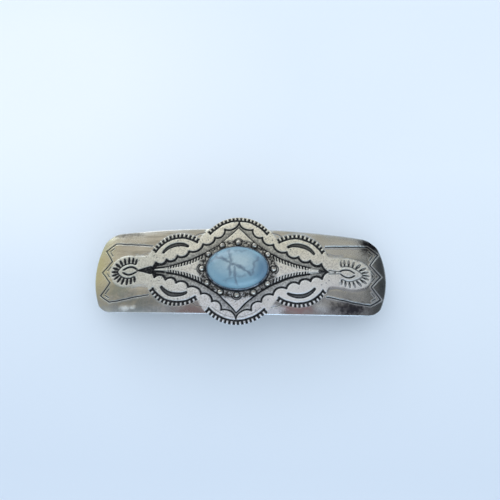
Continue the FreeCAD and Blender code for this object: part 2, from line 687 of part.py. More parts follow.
pieces = [
    make_front_plate(),
    make_stone_bezel(),
    make_cabochon(),
    make_border_beads(),
    make_clip_base(),
    make_stud("stud_hinge_end", "(-dims.stud_x)"),
    make_stud("stud_catch_end", "dims.stud_x"),
    make_hinge_pin(),
    make_clip_arm(),
    make_bow_spring(),
    make_catch_prong("catch_prong_front", -1),
    make_catch_prong("catch_prong_rear", 1),
]
document.recompute()

for item in document.Objects:
    if "Invalid" in item.State or "Error" in item.State:
        raise RuntimeError(f"{item.Label} failed: {item.State}")

os.makedirs("parts", exist_ok=True)
for piece in pieces:
    if piece.Shape.isNull() or not piece.Shape.isValid():
        raise RuntimeError(f"{piece.Label} has no valid shape")
    piece.Shape.exportStep(f"parts/{piece.Label}.step")
    box = piece.Shape.BoundBox
    print(f"{piece.Label}: {len(piece.Shape.Solids)} solids, {piece.Shape.Volume:.1f} mm3, "
          f"x {box.XMin:.2f} {box.XMax:.2f} y {box.YMin:.2f} {box.YMax:.2f} z {box.ZMin:.2f} {box.ZMax:.2f}")
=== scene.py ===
"""Looks of the arched bar barrette: a struck, darkened white-metal plate with a blue stone.

Sizes are in millimetres until a mesh is made; the scene is in metres, in the CAD frame: +X along
the bar, +Y across it, +Z up through the stone. The struck relief of the plate is a height field
over the bar's outline, on a grid that is fine only where the relief needs it.
"""
import math

import bmesh
import bpy
import numpy as np
from mathutils import Matrix, Vector


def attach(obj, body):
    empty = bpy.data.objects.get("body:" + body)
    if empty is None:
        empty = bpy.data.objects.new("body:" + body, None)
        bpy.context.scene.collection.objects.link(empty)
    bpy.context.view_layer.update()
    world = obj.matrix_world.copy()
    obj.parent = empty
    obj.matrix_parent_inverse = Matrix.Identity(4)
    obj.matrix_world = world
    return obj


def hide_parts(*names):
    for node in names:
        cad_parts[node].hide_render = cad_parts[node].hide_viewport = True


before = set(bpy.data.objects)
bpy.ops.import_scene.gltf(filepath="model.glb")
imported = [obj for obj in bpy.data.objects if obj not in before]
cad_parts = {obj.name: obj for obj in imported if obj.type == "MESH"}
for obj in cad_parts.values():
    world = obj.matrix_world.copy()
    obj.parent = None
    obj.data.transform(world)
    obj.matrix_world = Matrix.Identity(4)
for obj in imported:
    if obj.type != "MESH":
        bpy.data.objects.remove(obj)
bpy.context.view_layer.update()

MM = 0.001

# ---- the plate's sizes, as in the CAD ----

CROWN_HEIGHT = 13.0
ARCH_RADIUS = 168.5
PLATE_THICKNESS = 0.9
PLATE_HALF_LENGTH = 44.47
CORNER_X = 41.0
FRONT_CORNER_Y = 12.5
REAR_HINGE_CORNER_Y = 12.5
REAR_CATCH_CORNER_Y = 11.3
FRONT_ROUNDING = 2.4
REAR_ROUNDING = 3.2
EDGE_RADIUS = 800.0
LOBE_RADIUS = 11.9
LOBE_CENTRE_Y = 4.72
FRONT_LOBE_X = 8.0
REAR_HINGE_LOBE_X = 8.6
REAR_CATCH_LOBE_X = 8.8
LOBE_CENTRE = (0, LOBE_CENTRE_Y)
OVAL_STEPS = 3600
BEAD_COUNT = 12
BEAD_OVAL = (10.55, 8.05)
BEAD_RADIUS = 0.775
BEAD_RISE = 0.3
BEZEL_OVAL = (9.38, 6.88)


def arch(x, radius=ARCH_RADIUS):
    """Height at x of a surface that follows the bar's arch."""
    return CROWN_HEIGHT - ARCH_RADIUS + np.sqrt(radius ** 2 - x ** 2)


def arc_centre(start, end, radius):
    """Centre of the arc between two points that bulges to the right of the way from start to end."""
    half_chord = math.dist(start, end) / 2
    along = np.subtract(end, start) / (2 * half_chord)
    depth = math.sqrt(radius ** 2 - half_chord ** 2)
    return (np.add(start, end) / 2 - np.array((along[1], -along[0])) * depth).tolist()


def outline_quarter(lobe_x, corner_y, opposite_y):
    """lobe_x, centre of the long edge, and centre and radius of the end, as if x and y were above zero."""
    lobe_end = (lobe_x, LOBE_CENTRE_Y + math.sqrt(LOBE_RADIUS ** 2 - lobe_x ** 2))
    edge_centre = arc_centre((CORNER_X, corner_y), lobe_end, EDGE_RADIUS)
    depth = PLATE_HALF_LENGTH - CORNER_X
    half_chord = (corner_y + opposite_y) / 2
    end_radius = (half_chord ** 2 + depth ** 2) / (2 * depth)
    return [lobe_x, *edge_centre, PLATE_HALF_LENGTH - end_radius, (corner_y - opposite_y) / 2, end_radius]


# Quarters of the outline: front hinge, front catch, rear hinge and rear catch.
OUTLINE = np.array([outline_quarter(*sizes) for sizes in (
    (FRONT_LOBE_X, FRONT_CORNER_Y, REAR_HINGE_CORNER_Y),
    (FRONT_LOBE_X, FRONT_CORNER_Y, REAR_CATCH_CORNER_Y),
    (REAR_HINGE_LOBE_X, REAR_HINGE_CORNER_Y, FRONT_CORNER_Y),
    (REAR_CATCH_LOBE_X, REAR_CATCH_CORNER_Y, FRONT_CORNER_Y),
)])


def outline_at(x, y):
    """The numbers of outline_quarter for the quarter that each point is in."""
    return np.moveaxis(OUTLINE[(x > 0) + 2 * (y > 0)], -1, 0)


def plate_point(along, across):
    """Place on the plate of a point of a square that runs from -1 to 1 both ways."""
    lobe_x, edge_x, edge_y, end_x, end_y, end_radius = outline_at(along, across)
    reach = np.full_like(along, CORNER_X)
    # The long edge and the end depend on each other.
    for _ in range(4):
        edge = edge_y + np.sqrt(EDGE_RADIUS ** 2 - (reach - edge_x) ** 2)
        reach = end_x + np.sqrt(end_radius ** 2 - (np.abs(across) * edge - end_y) ** 2)
    x = np.abs(along) * reach
    edge = edge_y + np.sqrt(EDGE_RADIUS ** 2 - (x - edge_x) ** 2)
    lobe = LOBE_CENTRE_Y + np.sqrt(np.maximum(LOBE_RADIUS ** 2 - x ** 2, 0))
    y = np.abs(across) * np.where(x < lobe_x, lobe, edge)

    rounding = np.where(across > 0, REAR_ROUNDING, FRONT_ROUNDING)
    outwards = np.clip(1 - (end_radius - np.hypot(x - end_x, y - end_y)) / rounding, 0, 1)
    sideways = np.where(x < lobe_x, 0, np.clip(1 - (edge - y) / rounding, 0, 1))
    x = x - rounding * outwards * (1 - np.sqrt(1 - sideways ** 2 / 2))
    y = y - rounding * sideways * (1 - np.sqrt(1 - outwards ** 2 / 2))
    return np.copysign(x, along), np.copysign(y, across)


def edge_distance(x, y):
    """Distance inwards from the plate's outline."""
    _, edge_x, edge_y, end_x, end_y, end_radius = outline_at(x, y)
    end = end_radius - np.hypot(np.abs(x) - end_x, np.abs(y) - end_y)
    side = EDGE_RADIUS - np.hypot(np.abs(x) - edge_x, np.abs(y) - edge_y)
    rounding = np.where(y > 0, REAR_ROUNDING, FRONT_ROUNDING)
    corner = rounding - np.hypot(np.maximum(rounding - end, 0), np.maximum(rounding - side, 0))
    lobe = LOBE_RADIUS - np.hypot(x, np.abs(y) - LOBE_CENTRE_Y)
    return np.maximum(np.minimum(np.minimum(end, side), corner), lobe)


def bead_places():
    """Centres of the border beads, evenly spaced along their oval."""
    turns = np.linspace(0, math.tau, OVAL_STEPS + 1)
    path = np.stack((BEAD_OVAL[0] * np.cos(turns), BEAD_OVAL[1] * np.sin(turns)))
    travelled = np.concatenate(([0], np.cumsum(np.hypot(*np.diff(path)))))
    stops = np.interp(np.arange(BEAD_COUNT) * travelled[-1] / BEAD_COUNT, travelled, turns)
    return [(BEAD_OVAL[0] * math.cos(turn), BEAD_OVAL[1] * math.sin(turn)) for turn in stops]


# ---- shapes of the struck relief: distances in mm, below zero inside ----

# A distance that is outside every shape.
FAR = 9.0
COMB_BAND = 0.7
COMB_GAP_SHARE = 0.63


def ease(t):
    """0 below 0, 1 above 1, with a smooth rise between."""
    t = np.clip(t, 0, 1)
    return t * t * (3 - 2 * t)


def filled(distance, wall=0.14):
    """1 inside a shape and 0 outside it, across a wall of that width."""
    return ease(0.5 - distance / wall)


def share_along(x, y, start, end):
    """How far along the line from start to end each point is, from 0 to 1."""
    along = np.subtract(end, start)
    return np.clip(((x - start[0]) * along[0] + (y - start[1]) * along[1]) / np.dot(along, along), 0, 1)


def to_segment(x, y, start, end):
    """Distance to a straight line between two points."""
    share = share_along(x, y, start, end)
    return np.hypot(x - start[0] - share * (end[0] - start[0]), y - start[1] - share * (end[1] - start[1]))


def to_path(x, y, points):
    """Distance to straight lines through points."""
    distance = to_segment(x, y, points[0], points[1])
    for start, end in zip(points[1:], points[2:]):
        distance = np.minimum(distance, to_segment(x, y, start, end))
    return distance


def taper(x, y, start, end, start_width, end_width):
    """A straight stroke that changes in width from start to end."""
    width = start_width + (end_width - start_width) * share_along(x, y, start, end)
    return to_segment(x, y, start, end) - width / 2


def scallop(x, y, start, end, rise):
    """Distance to an arc between two points, and the bump between it and its chord.

    The arc rises to the right of the way from start to end. The bump is above zero inside.
    """
    chord = math.dist(start, end)
    radius = (chord ** 2 / 4 + rise ** 2) / (2 * rise)
    centre = arc_centre(start, end, radius)
    along = np.subtract(end, start) / chord
    across = (x - centre[0]) * along[0] + (y - centre[1]) * along[1]
    depth = (x - centre[0]) * along[1] - (y - centre[1]) * along[0]
    reach = np.hypot(across, depth)
    on_arc = depth * chord / 2 > np.abs(across) * (radius - rise)
    ends = np.minimum(np.hypot(x - start[0], y - start[1]), np.hypot(x - end[0], y - end[1]))
    return np.where(on_arc, np.abs(reach - radius), ends), radius - reach


def polar(x, y, centre):
    """Radius and angle in degrees about a centre."""
    return np.hypot(x - centre[0], y - centre[1]), np.degrees(np.arctan2(y - centre[1], x - centre[0]))


def on_circle(centre, radius, degrees):
    """The point of a circle at an angle."""
    turn = math.radians(degrees)
    return centre[0] + radius * math.cos(turn), centre[1] + radius * math.sin(turn)


def comb(x, y, centre, inner, outer, start, end, gaps):
    """Struck comb between two radii and two angles: a curved groove with gaps that open outwards."""
    radius, angle = polar(x, y, centre)
    middle = (inner + outer) / 2
    pitch = math.radians(end - start) * middle / gaps
    share = (angle - start) * gaps / (end - start)
    beyond = np.maximum(-share, share - gaps) * pitch
    groove = np.maximum(np.abs(radius - inner - COMB_BAND / 2) - COMB_BAND / 2, beyond)
    from_gap = (np.abs(share % 1 - 0.5) - COMB_GAP_SHARE / 2) * pitch
    gap = np.maximum(np.maximum(from_gap, beyond), np.abs(radius - middle) - (outer - inner) / 2)
    return np.minimum(groove, gap)


def crescent(x, y, centre, radius, direction, half_angle, middle_width, end_width):
    """A curved slot with round ends, widest in its middle. radius is that of its outer side."""
    reach, angle = polar(x, y, centre)
    off = np.abs(angle - direction) / half_angle
    width = end_width + (middle_width - end_width) * np.clip(1 - off ** 2, 0, 1)
    slot = np.where(off < 1, np.abs(reach - radius + width / 2) - width / 2, FAR)
    for side in (-1, 1):
        end = on_circle(centre, radius - end_width / 2, direction + side * half_angle)
        slot = np.minimum(slot, np.hypot(x - end[0], y - end[1]) - end_width / 2)
    return slot


def lens(x, y, centre_x, half_length, half_height):
    """Pointed oval on the bar's middle line."""
    radius = (half_length ** 2 + half_height ** 2) / (2 * half_height)
    return np.hypot(x - centre_x, np.abs(y) + radius - half_height) - radius


def oval(x, y, centre_x, half_length, half_height):
    """Ellipse on the bar's middle line, in mm near its outline."""
    reach = np.hypot((x - centre_x) / half_length, y / half_height)
    slope = np.hypot((x - centre_x) / half_length ** 2, y / half_height ** 2)
    return (reach - 1) * reach / np.maximum(slope, 1e-6)


def union(first, second, blend):
    """Both shapes, joined with a soft inner corner."""
    mix = np.clip(0.5 + 0.5 * (second - first) / blend, 0, 1)
    return second * (1 - mix) + first * mix - blend * mix * (1 - mix)


def waves(x, y, sizes, seed):
    """Smooth unevenness, mostly between -1 and 1, from crossed waves of those lengths in mm."""
    random = np.random.default_rng(seed)
    total = np.zeros_like(x)
    for size in sizes:
        turn = random.uniform(0, math.tau)
        phase = random.uniform(0, math.tau, 2)
        along = x * math.cos(turn) + y * math.sin(turn)
        across = y * math.cos(turn) - x * math.sin(turn)
        bend = 0.35 * size * np.sin(across * math.tau / (size * 1.7) + phase[0])
        total += np.sin((along + bend) * math.tau / size + phase[1])
    return total / math.sqrt(len(sizes))


# ---- the struck relief of the plate's face ----

# Outward points of the scalloped line in one quarter, from above the stone to the side.
CUSPS = [(0, 14.9), (4.3, 12.5), (7.1, 9.9), (10.4, 7.8), (14.4, 5.6), (18.0, 4.2), (21.4, 3.1),
         (24.9, 2.3), (29.3, 0)]
# How far the scallops between them bulge at most: in mm, and as a share of their chord.
SCALLOP_RISE = 1.15
SCALLOP_SHARE = 0.3
ORNAMENT_RADIUS = 12.2
SIDE_LOBE = (17.3, 0.8)
SIDE_LOBE_RADIUS = 10.45
NECK_HALF_WIDTH = 4.4
NECK_END_X = 31
# Combs: inner and outer radius, first and last angle, and number of gaps.
REAR_COMB = (10.3, 12.2, 35, 145, 18)
FRONT_COMB = (10.4, 12.2, 40.5, 139.5, 16)
SIDE_COMB = (8.87, 10.5, 30, 126, 13)
REAR_COMB_EDGE = 11.72
COMB_DEPTH = 0.3
# Slot in each side lobe: centre, outer radius, direction, half angle, and widths in the middle and at an end.
SIDE_SLOT = ((17.9, 2.7), 5.9, 77, 46, 1.5, 0.95)
DIAMOND_TOP = 13.2
DIAMOND_REACH = 40
DIAMOND_HOLLOW = 3.53
# Notches along the diamond's sides: where a row starts and ends, and their half lengths there.
TOOTH_ROW = (10.0, 20.9)
TOOTH_HALF_LENGTHS = (0.74, 0.4)
TOOTH_PITCH = 0.86
TOOTH_SLANT = 0.18
TOOTH_HALF_SHARE = 0.33
ZIGZAG = [(26.3, 7.7), (38.5, 9.15), (41.7, 7.0), (39.1, 3.4), (42.1, 0)]
EYE_X = 33.0
EYE_SIDE_RAYS = 7
# How far the stamps slipped towards the middle near the catch end: places along x, and slips there.
CATCH_END_SLIP = ((24, 29, 35, 38.5), (0, 0.5, 0.5, -0.5))
# The face falls off towards the outline, and the outline itself is rounded.
EDGE_FALL = 0.22
EDGE_FALL_WIDTH = 3.2
FACE_ROUNDING = 0.25


class Relief:
    """Height over the arch, dark patina, cast grain and brown soil, built up shape after shape."""

    def __init__(self, x):
        self.height, self.dark, self.grain, self.soil = np.zeros((4, *x.shape))

    def strike(self, distance, depth, dark=1.0, wall=0.14):
        """Sinks a shape to that depth and darkens its floor."""
        self.height -= depth * filled(distance, wall)
        self.dark = np.maximum(self.dark, dark * filled(distance + 0.02, wall))

    def lift(self, distance, rise, wall):
        """Raises a shape, with a soft edge."""
        self.height += rise * filled(distance, wall)


def diamond_edge(x):
    """Height of the inner diamond's hollow side at x."""
    return DIAMOND_TOP * np.clip(1 - x / DIAMOND_REACH, 0, 1) ** DIAMOND_HOLLOW


def ornament_outline(x, y):
    """The raised, grained middle of the plate with its eye-shaped ends."""
    middle = polar(x, y, LOBE_CENTRE)[0] - ORNAMENT_RADIUS
    lobe = polar(x, y, SIDE_LOBE)[0] - SIDE_LOBE_RADIUS
    neck = np.maximum(y - NECK_HALF_WIDTH, x - NECK_END_X)
    eye = oval(x, y, EYE_X + 0.9, 5.5, 4.8)
    return union(union(middle, lobe, 1.0), union(neck, eye, 1.5), 1.2)


def add_field(relief, x, y):
    """The scalloped field around the stone, its sloping border and the diamond inside it."""
    line = np.full_like(x, FAR)
    bumps = np.full_like(x, -FAR)
    for start, end in zip(CUSPS, CUSPS[1:]):
        rise = min(SCALLOP_RISE, SCALLOP_SHARE * math.dist(start, end))
        distance, bump = scallop(x, y, start, end, rise)
        line = np.minimum(line, distance)
        bumps = np.maximum(bumps, bump)
    steepness = np.interp(x, (0, 8, 20), (0.7, 0.8, 0.96))
    field = np.maximum((y - np.interp(x, *zip(*CUSPS))) * steepness, bumps)
    field = np.maximum(field, x - CUSPS[-1][0])
    diamond = (y - diamond_edge(x)) * steepness
    border = filled(field, 0.1) * filled(-diamond, 0.1)
    fall = np.clip(-field / np.maximum(np.maximum(diamond, 0) - field, 0.1), 0, 1)
    relief.height -= border * (0.08 + 0.3 * fall)
    relief.dark = np.maximum(relief.dark, border * (0.1 + 0.16 * fall))
    relief.soil = np.maximum(relief.soil, border * (0.45 + 0.3 * fall))
    relief.lift(np.maximum(diamond, field), 0.05, 0.25)
    half_line = np.interp(x, (0, 9, 16, 24, 29), (0.29, 0.33, 0.37, 0.44, 0.25))
    relief.strike(line - half_line, 0.2)
    half_side = np.interp(x, (8, 11, 21), (0.21, 0.34, 0.26))
    relief.strike(np.maximum(np.abs(diamond) - half_side, x - 21.5), 0.2)
    return field


def add_tooth_rows(relief, x, y):
    """Short notches along the inside of the diamond's sides."""
    start, end = TOOTH_ROW
    edge = diamond_edge(x)
    share = (x - start - TOOTH_SLANT * (edge - y)) / TOOTH_PITCH
    across = (np.abs(share % 1 - 0.5) - TOOTH_HALF_SHARE) * TOOTH_PITCH
    half = np.interp(x, TOOTH_ROW, TOOTH_HALF_LENGTHS)
    along = np.abs(y - edge + 0.1 + half) - half
    row = np.maximum(np.maximum(across, along), np.maximum(start - x, x - end))
    relief.strike(row, 0.22, 1.0, 0.12)


def add_side_point(relief, x, y, field, hinge):
    """The narrow end of the field, and the neck from it to the eye."""
    pocket = np.maximum(field - 0.1, 20.6 - x)
    spine = taper(x, y, (20.4, 0), (24.9, 0), 0.9, 0.2)
    flank = taper(x, y, (21.4, 1.35), (24.4, 0.95), 0.5, 0.12)
    darkness = np.where(hinge, 1.0, 0.5) * ease((x - 20) / 2.4)
    relief.strike(np.maximum(pocket, -np.minimum(spine, flank)), 0.12, darkness, 0.2)
    spike = taper(x, y, (26.4, 0), (30.9, 0), 2.7, 0.3)
    arrow = taper(x, y, (24.3, 0), (26.6, 0), 1.2, 0.3)
    two_lines = taper(x, y, (27.2, 0.55), (31.0, 0.32), 0.36, 0.3)
    relief.strike(np.where(hinge, spike, np.minimum(arrow, two_lines)), 0.18, 1.0, 0.12)


def add_eye(relief, x, y, hinge):
    """Eye at the bar's end: a lens between two struck arcs, in a ring of short leaf-shaped rays."""
    ring_x = EYE_X + 0.3
    body = lens(x, y, EYE_X, 2.9, 1.5)
    relief.lift(body - 0.45, 0.10, 0.5)
    arcs = np.abs(body + 0.34) - np.where(hinge, 0.36, 0.28)
    arcs = np.maximum(arcs, np.maximum(0.22 - y, x - EYE_X - 2.4))
    relief.strike(arcs, 0.22, 1.0, 0.12)
    ring = np.maximum(np.abs(lens(x, y, ring_x, 3.8, 2.3)) - 0.24, EYE_X - 1.6 - x)
    relief.strike(ring, 0.14, np.where(hinge, 0.95, 0.75))
    for number in range(EYE_SIDE_RAYS + 1):
        turn = math.radians(122 * number / EYE_SIDE_RAYS)
        reach = 5.3 if turn < math.pi / 2 else 4.2
        start = (ring_x + 3.9 * math.cos(turn), 2.45 * math.sin(turn))
        end = (ring_x + reach * math.cos(turn), 4.1 * math.sin(turn))
        middle = np.add(start, end) / 2
        leaf = np.minimum(taper(x, y, start, middle, 0.5, 0.8), taper(x, y, middle, end, 0.8, 0.52))
        relief.strike(leaf - np.where(hinge, 0.09, 0.0), 0.2, 1.0, 0.13)
        # Lighter middles of the rays at the catch end: a painted reflection from their floors, taken off the
        # patina.
        core = to_segment(x, y, middle, end) - 0.1
        relief.dark -= np.where(hinge, 0.0, 0.55) * filled(core, 0.16)


def add_end_border(relief, x, y, hinge):
    """Thin engraved zigzag near each end with dashes inside its slopes, doubled at the catch, where painted
    highlights lighten the metal beside the line and around the dashes.
    """
    line = to_path(x, y, ZIGZAG)
    beside = np.abs(line - 0.4)
    relief.lift(beside - 0.14, np.where(hinge, 0.03, 0.06), 0.16)
    painted_glint = 0.32 * filled(beside - 0.1, 0.16)
    relief.strike(line - 0.2, 0.14)
    for start, end in zip(ZIGZAG[1:], ZIGZAG[2:]):
        way = np.subtract(end, start) / math.dist(start, end)
        inward = np.array((way[1], -way[0]))
        middle = np.add(start, end) / 2 + inward * 0.95
        dash = to_segment(x, y, middle - way * 0.75, middle + way * 0.75)
        relief.strike(dash - 0.17, 0.12, 0.9)
        middle = middle - inward * 0.45
        second = to_segment(x, y, middle - way * 0.7, middle + way * 0.7)
        relief.strike(np.where(hinge, FAR, second - 0.1), 0.08, 0.55)
        painted_glint = np.maximum(painted_glint, 0.4 * filled(np.abs(dash - 0.32) - 0.1, 0.16))
    # The painted highlights go into the grain field, which gives them the ornament's lighter colour.
    relief.grain = np.maximum(relief.grain, np.where(hinge, 0.0, painted_glint))


def add_stone_border(relief, x, y):
    """Recess under the stone's cup, rings around the beads, arcs outside four of them, and round dents."""
    relief.strike(np.abs(oval(x, y, 0, *BEZEL_OVAL) - 0.05) - 0.2, 0.10, 1.0, 0.2)
    relief.soil = np.maximum(relief.soil, filled(np.abs(oval(x, y, 0, *BEAD_OVAL)) - 1.1, 0.9))
    places = bead_places()
    for number, bead in enumerate(places):
        radius, _ = polar(x, y, bead)
        relief.strike(np.abs(radius - 0.95) - 0.22, 0.12, 0.95, 0.2)
        if number % (BEAD_COUNT // 4) == 0:
            outside = ((x - bead[0]) * bead[0] + (y - bead[1]) * bead[1]) / math.hypot(*bead)
            relief.strike(np.maximum(np.abs(radius - 1.45) - 0.2, 0.3 - outside), 0.13, 0.95)
        following = places[(number + 1) % BEAD_COUNT]
        middle = np.add(bead, following) / 2
        across = np.subtract(following, bead) / math.dist(bead, following)
        outward = np.array((across[1], -across[0]))
        for step, out, size in ((-0.55, 0.1, 0.26), (0.08, 0.42, 0.36), (0.66, 0.15, 0.24)):
            dent, _ = polar(x, y, middle + across * step + outward * out)
            relief.strike(dent - size, 0.12, 0.85, 0.2)


def struck_relief(x, y):
    """Height over the arch, patina, grain and soil of the plate's face."""
    # The stamps drift a little all over, and slipped further near the ends and at one rear lobe.
    drift_x = x + 0.05 * waves(x, y, (5.1, 8.3), 3) + np.interp(x, *CATCH_END_SLIP)
    drift_x += 0.55 * np.exp(-((x + 17) ** 2 + (y - 8) ** 2) / 50)
    drift_y = y + 0.05 * waves(x, y, (4.7, 7.9), 4) + 0.42 * ease((x - 26) / 13)
    drift_y += 0.42 * ease((-26 - x) / 13) * ease((-3 - y) / 5)
    hinge = drift_x < 0
    rear = drift_y > 0
    quarter = np.abs(drift_x), np.abs(drift_y)

    relief = Relief(x)
    outline = ornament_outline(*quarter)
    relief.lift(outline - 0.1, 0.12 - 0.04 * ease((quarter[0] - 22) / 6), 0.9)
    relief.height -= 0.1
    relief.grain = filled(outline + 0.05, 0.5)
    field = add_field(relief, *quarter)
    add_side_point(relief, *quarter, field, hinge)
    add_tooth_rows(relief, *quarter)

    from_lobe, lobe_turn = polar(*quarter, LOBE_CENTRE)
    rear_comb = np.maximum(comb(*quarter, LOBE_CENTRE, *REAR_COMB), from_lobe - REAR_COMB_EDGE)
    front_comb = comb(*quarter, LOBE_CENTRE, *FRONT_COMB)
    relief.strike(np.where(rear, rear_comb, front_comb), COMB_DEPTH)
    inner_line = np.maximum(np.abs(from_lobe - 9.75) - 0.1, np.maximum(44 - lobe_turn, lobe_turn - 86) * 0.17)
    relief.strike(np.where(rear, FAR, inner_line), 0.08, 0.8)
    relief.strike(comb(*quarter, SIDE_LOBE, *SIDE_COMB), COMB_DEPTH)
    slot = crescent(*quarter, *SIDE_SLOT)
    relief.strike(slot, COMB_DEPTH, 1.0, 0.16)
    # Lighter along the slot's middle: a painted reflection from its floor, taken off the patina.
    relief.dark -= 0.1 * filled(slot + 0.5, 0.3)

    add_eye(relief, *quarter, hinge)
    add_end_border(relief, *quarter, hinge)
    add_stone_border(relief, drift_x, drift_y)
    # Faint strokes beside the middle lobe and beside the neck; the one beside the neck is a shallow groove
    # with a painted shadow of the raised eye's shoulder.
    relief.strike(to_path(*quarter, [(10.0, 11.5), (11.8, 11.1), (13.3, 10.2)]) - 0.12, 0.1, 0.8)
    relief.strike(to_path(*quarter, [(27.2, 5.5), (29.5, 5.0), (32.0, 5.5)]) - 0.1, 0.05, 0.3, 0.4)

    relief.height += 0.012 * waves(x, y, (2.3, 3.3, 4.9), 21) * relief.grain
    relief.height += 0.02 * waves(x, y, (9.0, 14.0, 19.0), 22)
    inside = edge_distance(x, y)
    relief.height -= EDGE_FALL * np.clip(1 - inside / EDGE_FALL_WIDTH, 0, 1) ** 2
    rim = np.clip(FACE_ROUNDING - inside, 0, FACE_ROUNDING)
    relief.height -= FACE_ROUNDING - np.sqrt(FACE_ROUNDING ** 2 - rim ** 2)
    return relief


# ---- meshes ----

def linked(name, mesh):
    """A new object in the scene."""
    thing = bpy.data.objects.new(name, mesh)
    bpy.context.scene.collection.objects.link(thing)
    return thing


def piece_from(name, vertices, faces):
    """A new smooth object from vertices in mm."""
    mesh = bpy.data.meshes.new(name)
    mesh.from_pydata((vertices * MM).tolist(), [], faces)
    mesh.validate()
    mesh.shade_smooth()
    return linked(name, mesh)


def add_vertex_field(piece, name, values):
    """Stores one number per vertex for the material to read."""
    attribute = piece.data.attributes.new(name, "FLOAT", "POINT")
    attribute.data.foreach_set("value", values.astype(np.float32))


# The plate's mesh has square cells, each split in four where it must be finer. One of level n is 2 ** n
# grid cells wide. Neighbours differ by one level at most, so a side has at most one more corner on it.
GRID = (240, 720)
GRID_LEVELS = 4


def grown(cells):
    """Cells and their neighbours."""
    wide = np.pad(cells, 1)
    rows, columns = cells.shape
    return np.any([wide[i:i + rows, j:j + columns] for i in range(3) for j in range(3)], axis=0)


def cells_to_split(wanted):
    """The cells that wanted marks at each level above 0, and what must follow them."""
    split = {}
    finer = np.zeros(GRID, bool)
    for level in range(1, GRID_LEVELS + 1):
        below = finer.reshape(GRID[0] >> level, 2, GRID[1] >> level, 2).any(axis=(1, 3))
        finer = wanted(level) | grown(below)
        split[level] = finer
    return split


def whole_cells(split):
    """(level, rows, columns) of the cells that stay whole."""
    open_cells = np.ones((GRID[0] >> GRID_LEVELS, GRID[1] >> GRID_LEVELS), bool)
    for level in range(GRID_LEVELS, 0, -1):
        rows, columns = np.nonzero(open_cells & ~split[level])
        yield level, rows << level, columns << level
        open_cells = np.kron(open_cells & split[level], np.ones((2, 2), bool))
    yield 0, *np.nonzero(open_cells)


def worst_miss(field, level):
    """How far a field strays inside each cell of that level from the plane of its corners."""
    size = 1 << level
    rows, columns = (field.shape[0] - 1) // size, (field.shape[1] - 1) // size
    corner = field[::size, ::size]
    miss = np.zeros((rows, columns))
    for i in range(size + 1):
        for j in range(size + 1):
            down, right = i / size, j / size
            plane = ((1 - down) * (1 - right) * corner[:-1, :-1] + down * (1 - right) * corner[1:, :-1]
                     + (1 - down) * right * corner[:-1, 1:] + down * right * corner[1:, 1:])
            here = field[i:i + rows * size:size, j:j + columns * size:size][:rows, :columns]
            miss = np.maximum(miss, np.abs(here - plane))
    return miss


def grid_faces(split):
    """Faces of the cells as grid corner numbers, neighbours' corners included, and the used corners."""
    width = GRID[1] + 1
    used = np.zeros((GRID[0] + 1, width), bool)
    found = list(whole_cells(split))
    for level, rows, columns in found:
        size = 1 << level
        for down, right in ((0, 0), (0, size), (size, 0), (size, size)):
            used[rows + down, columns + right] = True
    faces = []
    for level, rows, columns in found:
        size = 1 << level
        half = size >> 1
        way = [(0, 0), (0, half), (0, size), (half, size), (size, size), (size, half), (size, 0), (half, 0)]
        steps = way if half else way[::2]
        for row, column in zip(rows.tolist(), columns.tolist()):
            corners = [(row + down, column + right) for down, right in steps]
            faces.append([i * width + j for i, j in corners if used[i, j]])
    return faces, used


def rim_of(used):
    """Used grid corners along the border of the grid, in order round it."""
    corner = np.arange(used.size).reshape(used.shape)
    rim = np.concatenate((corner[0, :-1], corner[:-1, -1], corner[-1, :0:-1], corner[:0:-1, 0]))
    return rim[used.ravel()[rim]].tolist()


# ---- the pieces ----

# What the plate's mesh may miss inside a cell: height in mm, and patina as a share.
HEIGHT_MISS = 0.014
DARK_MISS = 0.28
BACK_ROUNDING = 0.15
# Width in mm of the lighter band along the outline: rubbed wear and a painted edge highlight.
RUBBED_AND_HIGHLIT_EDGE = 0.16
STONE_OVAL = (9.0, 6.5)
STONE_BASE = 13.02
STONE_HEIGHT = 4.07
STONE_FULLNESS = 0.88
# Veins of the stone: half width in mm, strength, and the points that each runs through.
VEINS = [
    (0.442, 1.0, [(-6.1, 2.4), (-4.2, 1.9), (-1.9, 0.35), (0.1, -0.5), (1.7, -1.0), (4.0, -2.8)]),
    (0.416, 0.85, [(-2.6, 4.8), (-2.0, 2.4), (-1.7, 0.5), (-2.1, -0.6), (-1.7, -3.0)]),
    (0.39, 0.9, [(-0.5, -0.6), (-0.4, -3.3), (0.1, -5.4)]),
    (0.364, 0.75, [(4.4, -2.8), (5.0, 0.2), (6.3, 2.8)]),
    (0.338, 0.5, [(-1.2, 4.4), (1.4, 4.3), (3.9, 5.0)]),
    (0.364, 0.6, [(-8.6, 1.0), (-7.0, 1.6), (-6.1, 2.4), (-6.4, 4.3)]),
    (0.338, 0.5, [(-3.4, -4.6), (-0.9, -3.8), (2.4, -3.2)]),
]
# Section of the stone's cup, from outside to inside: how far out from the stone's oval, and height.
CUP_SECTION = [(0.38, 12.71), (0.36, 13.31), (0.26, 13.71), (0.12, 13.94), (-0.04, 14.0), (-0.14, 13.96),
               (-0.12, 13.84), (-0.02, 13.46), (0.03, 13.06), (0.03, 12.71)]
CUP_LIP_START = 13.66
# How the clip's CAD meshes are cleaned and rounded: a distance in mm, and angles between faces.
WELD_DISTANCE = 0.002
FLAT_ANGLE = math.radians(0.6)
BEVEL_ANGLE = math.radians(28)
CREASE_ANGLE = math.radians(32)


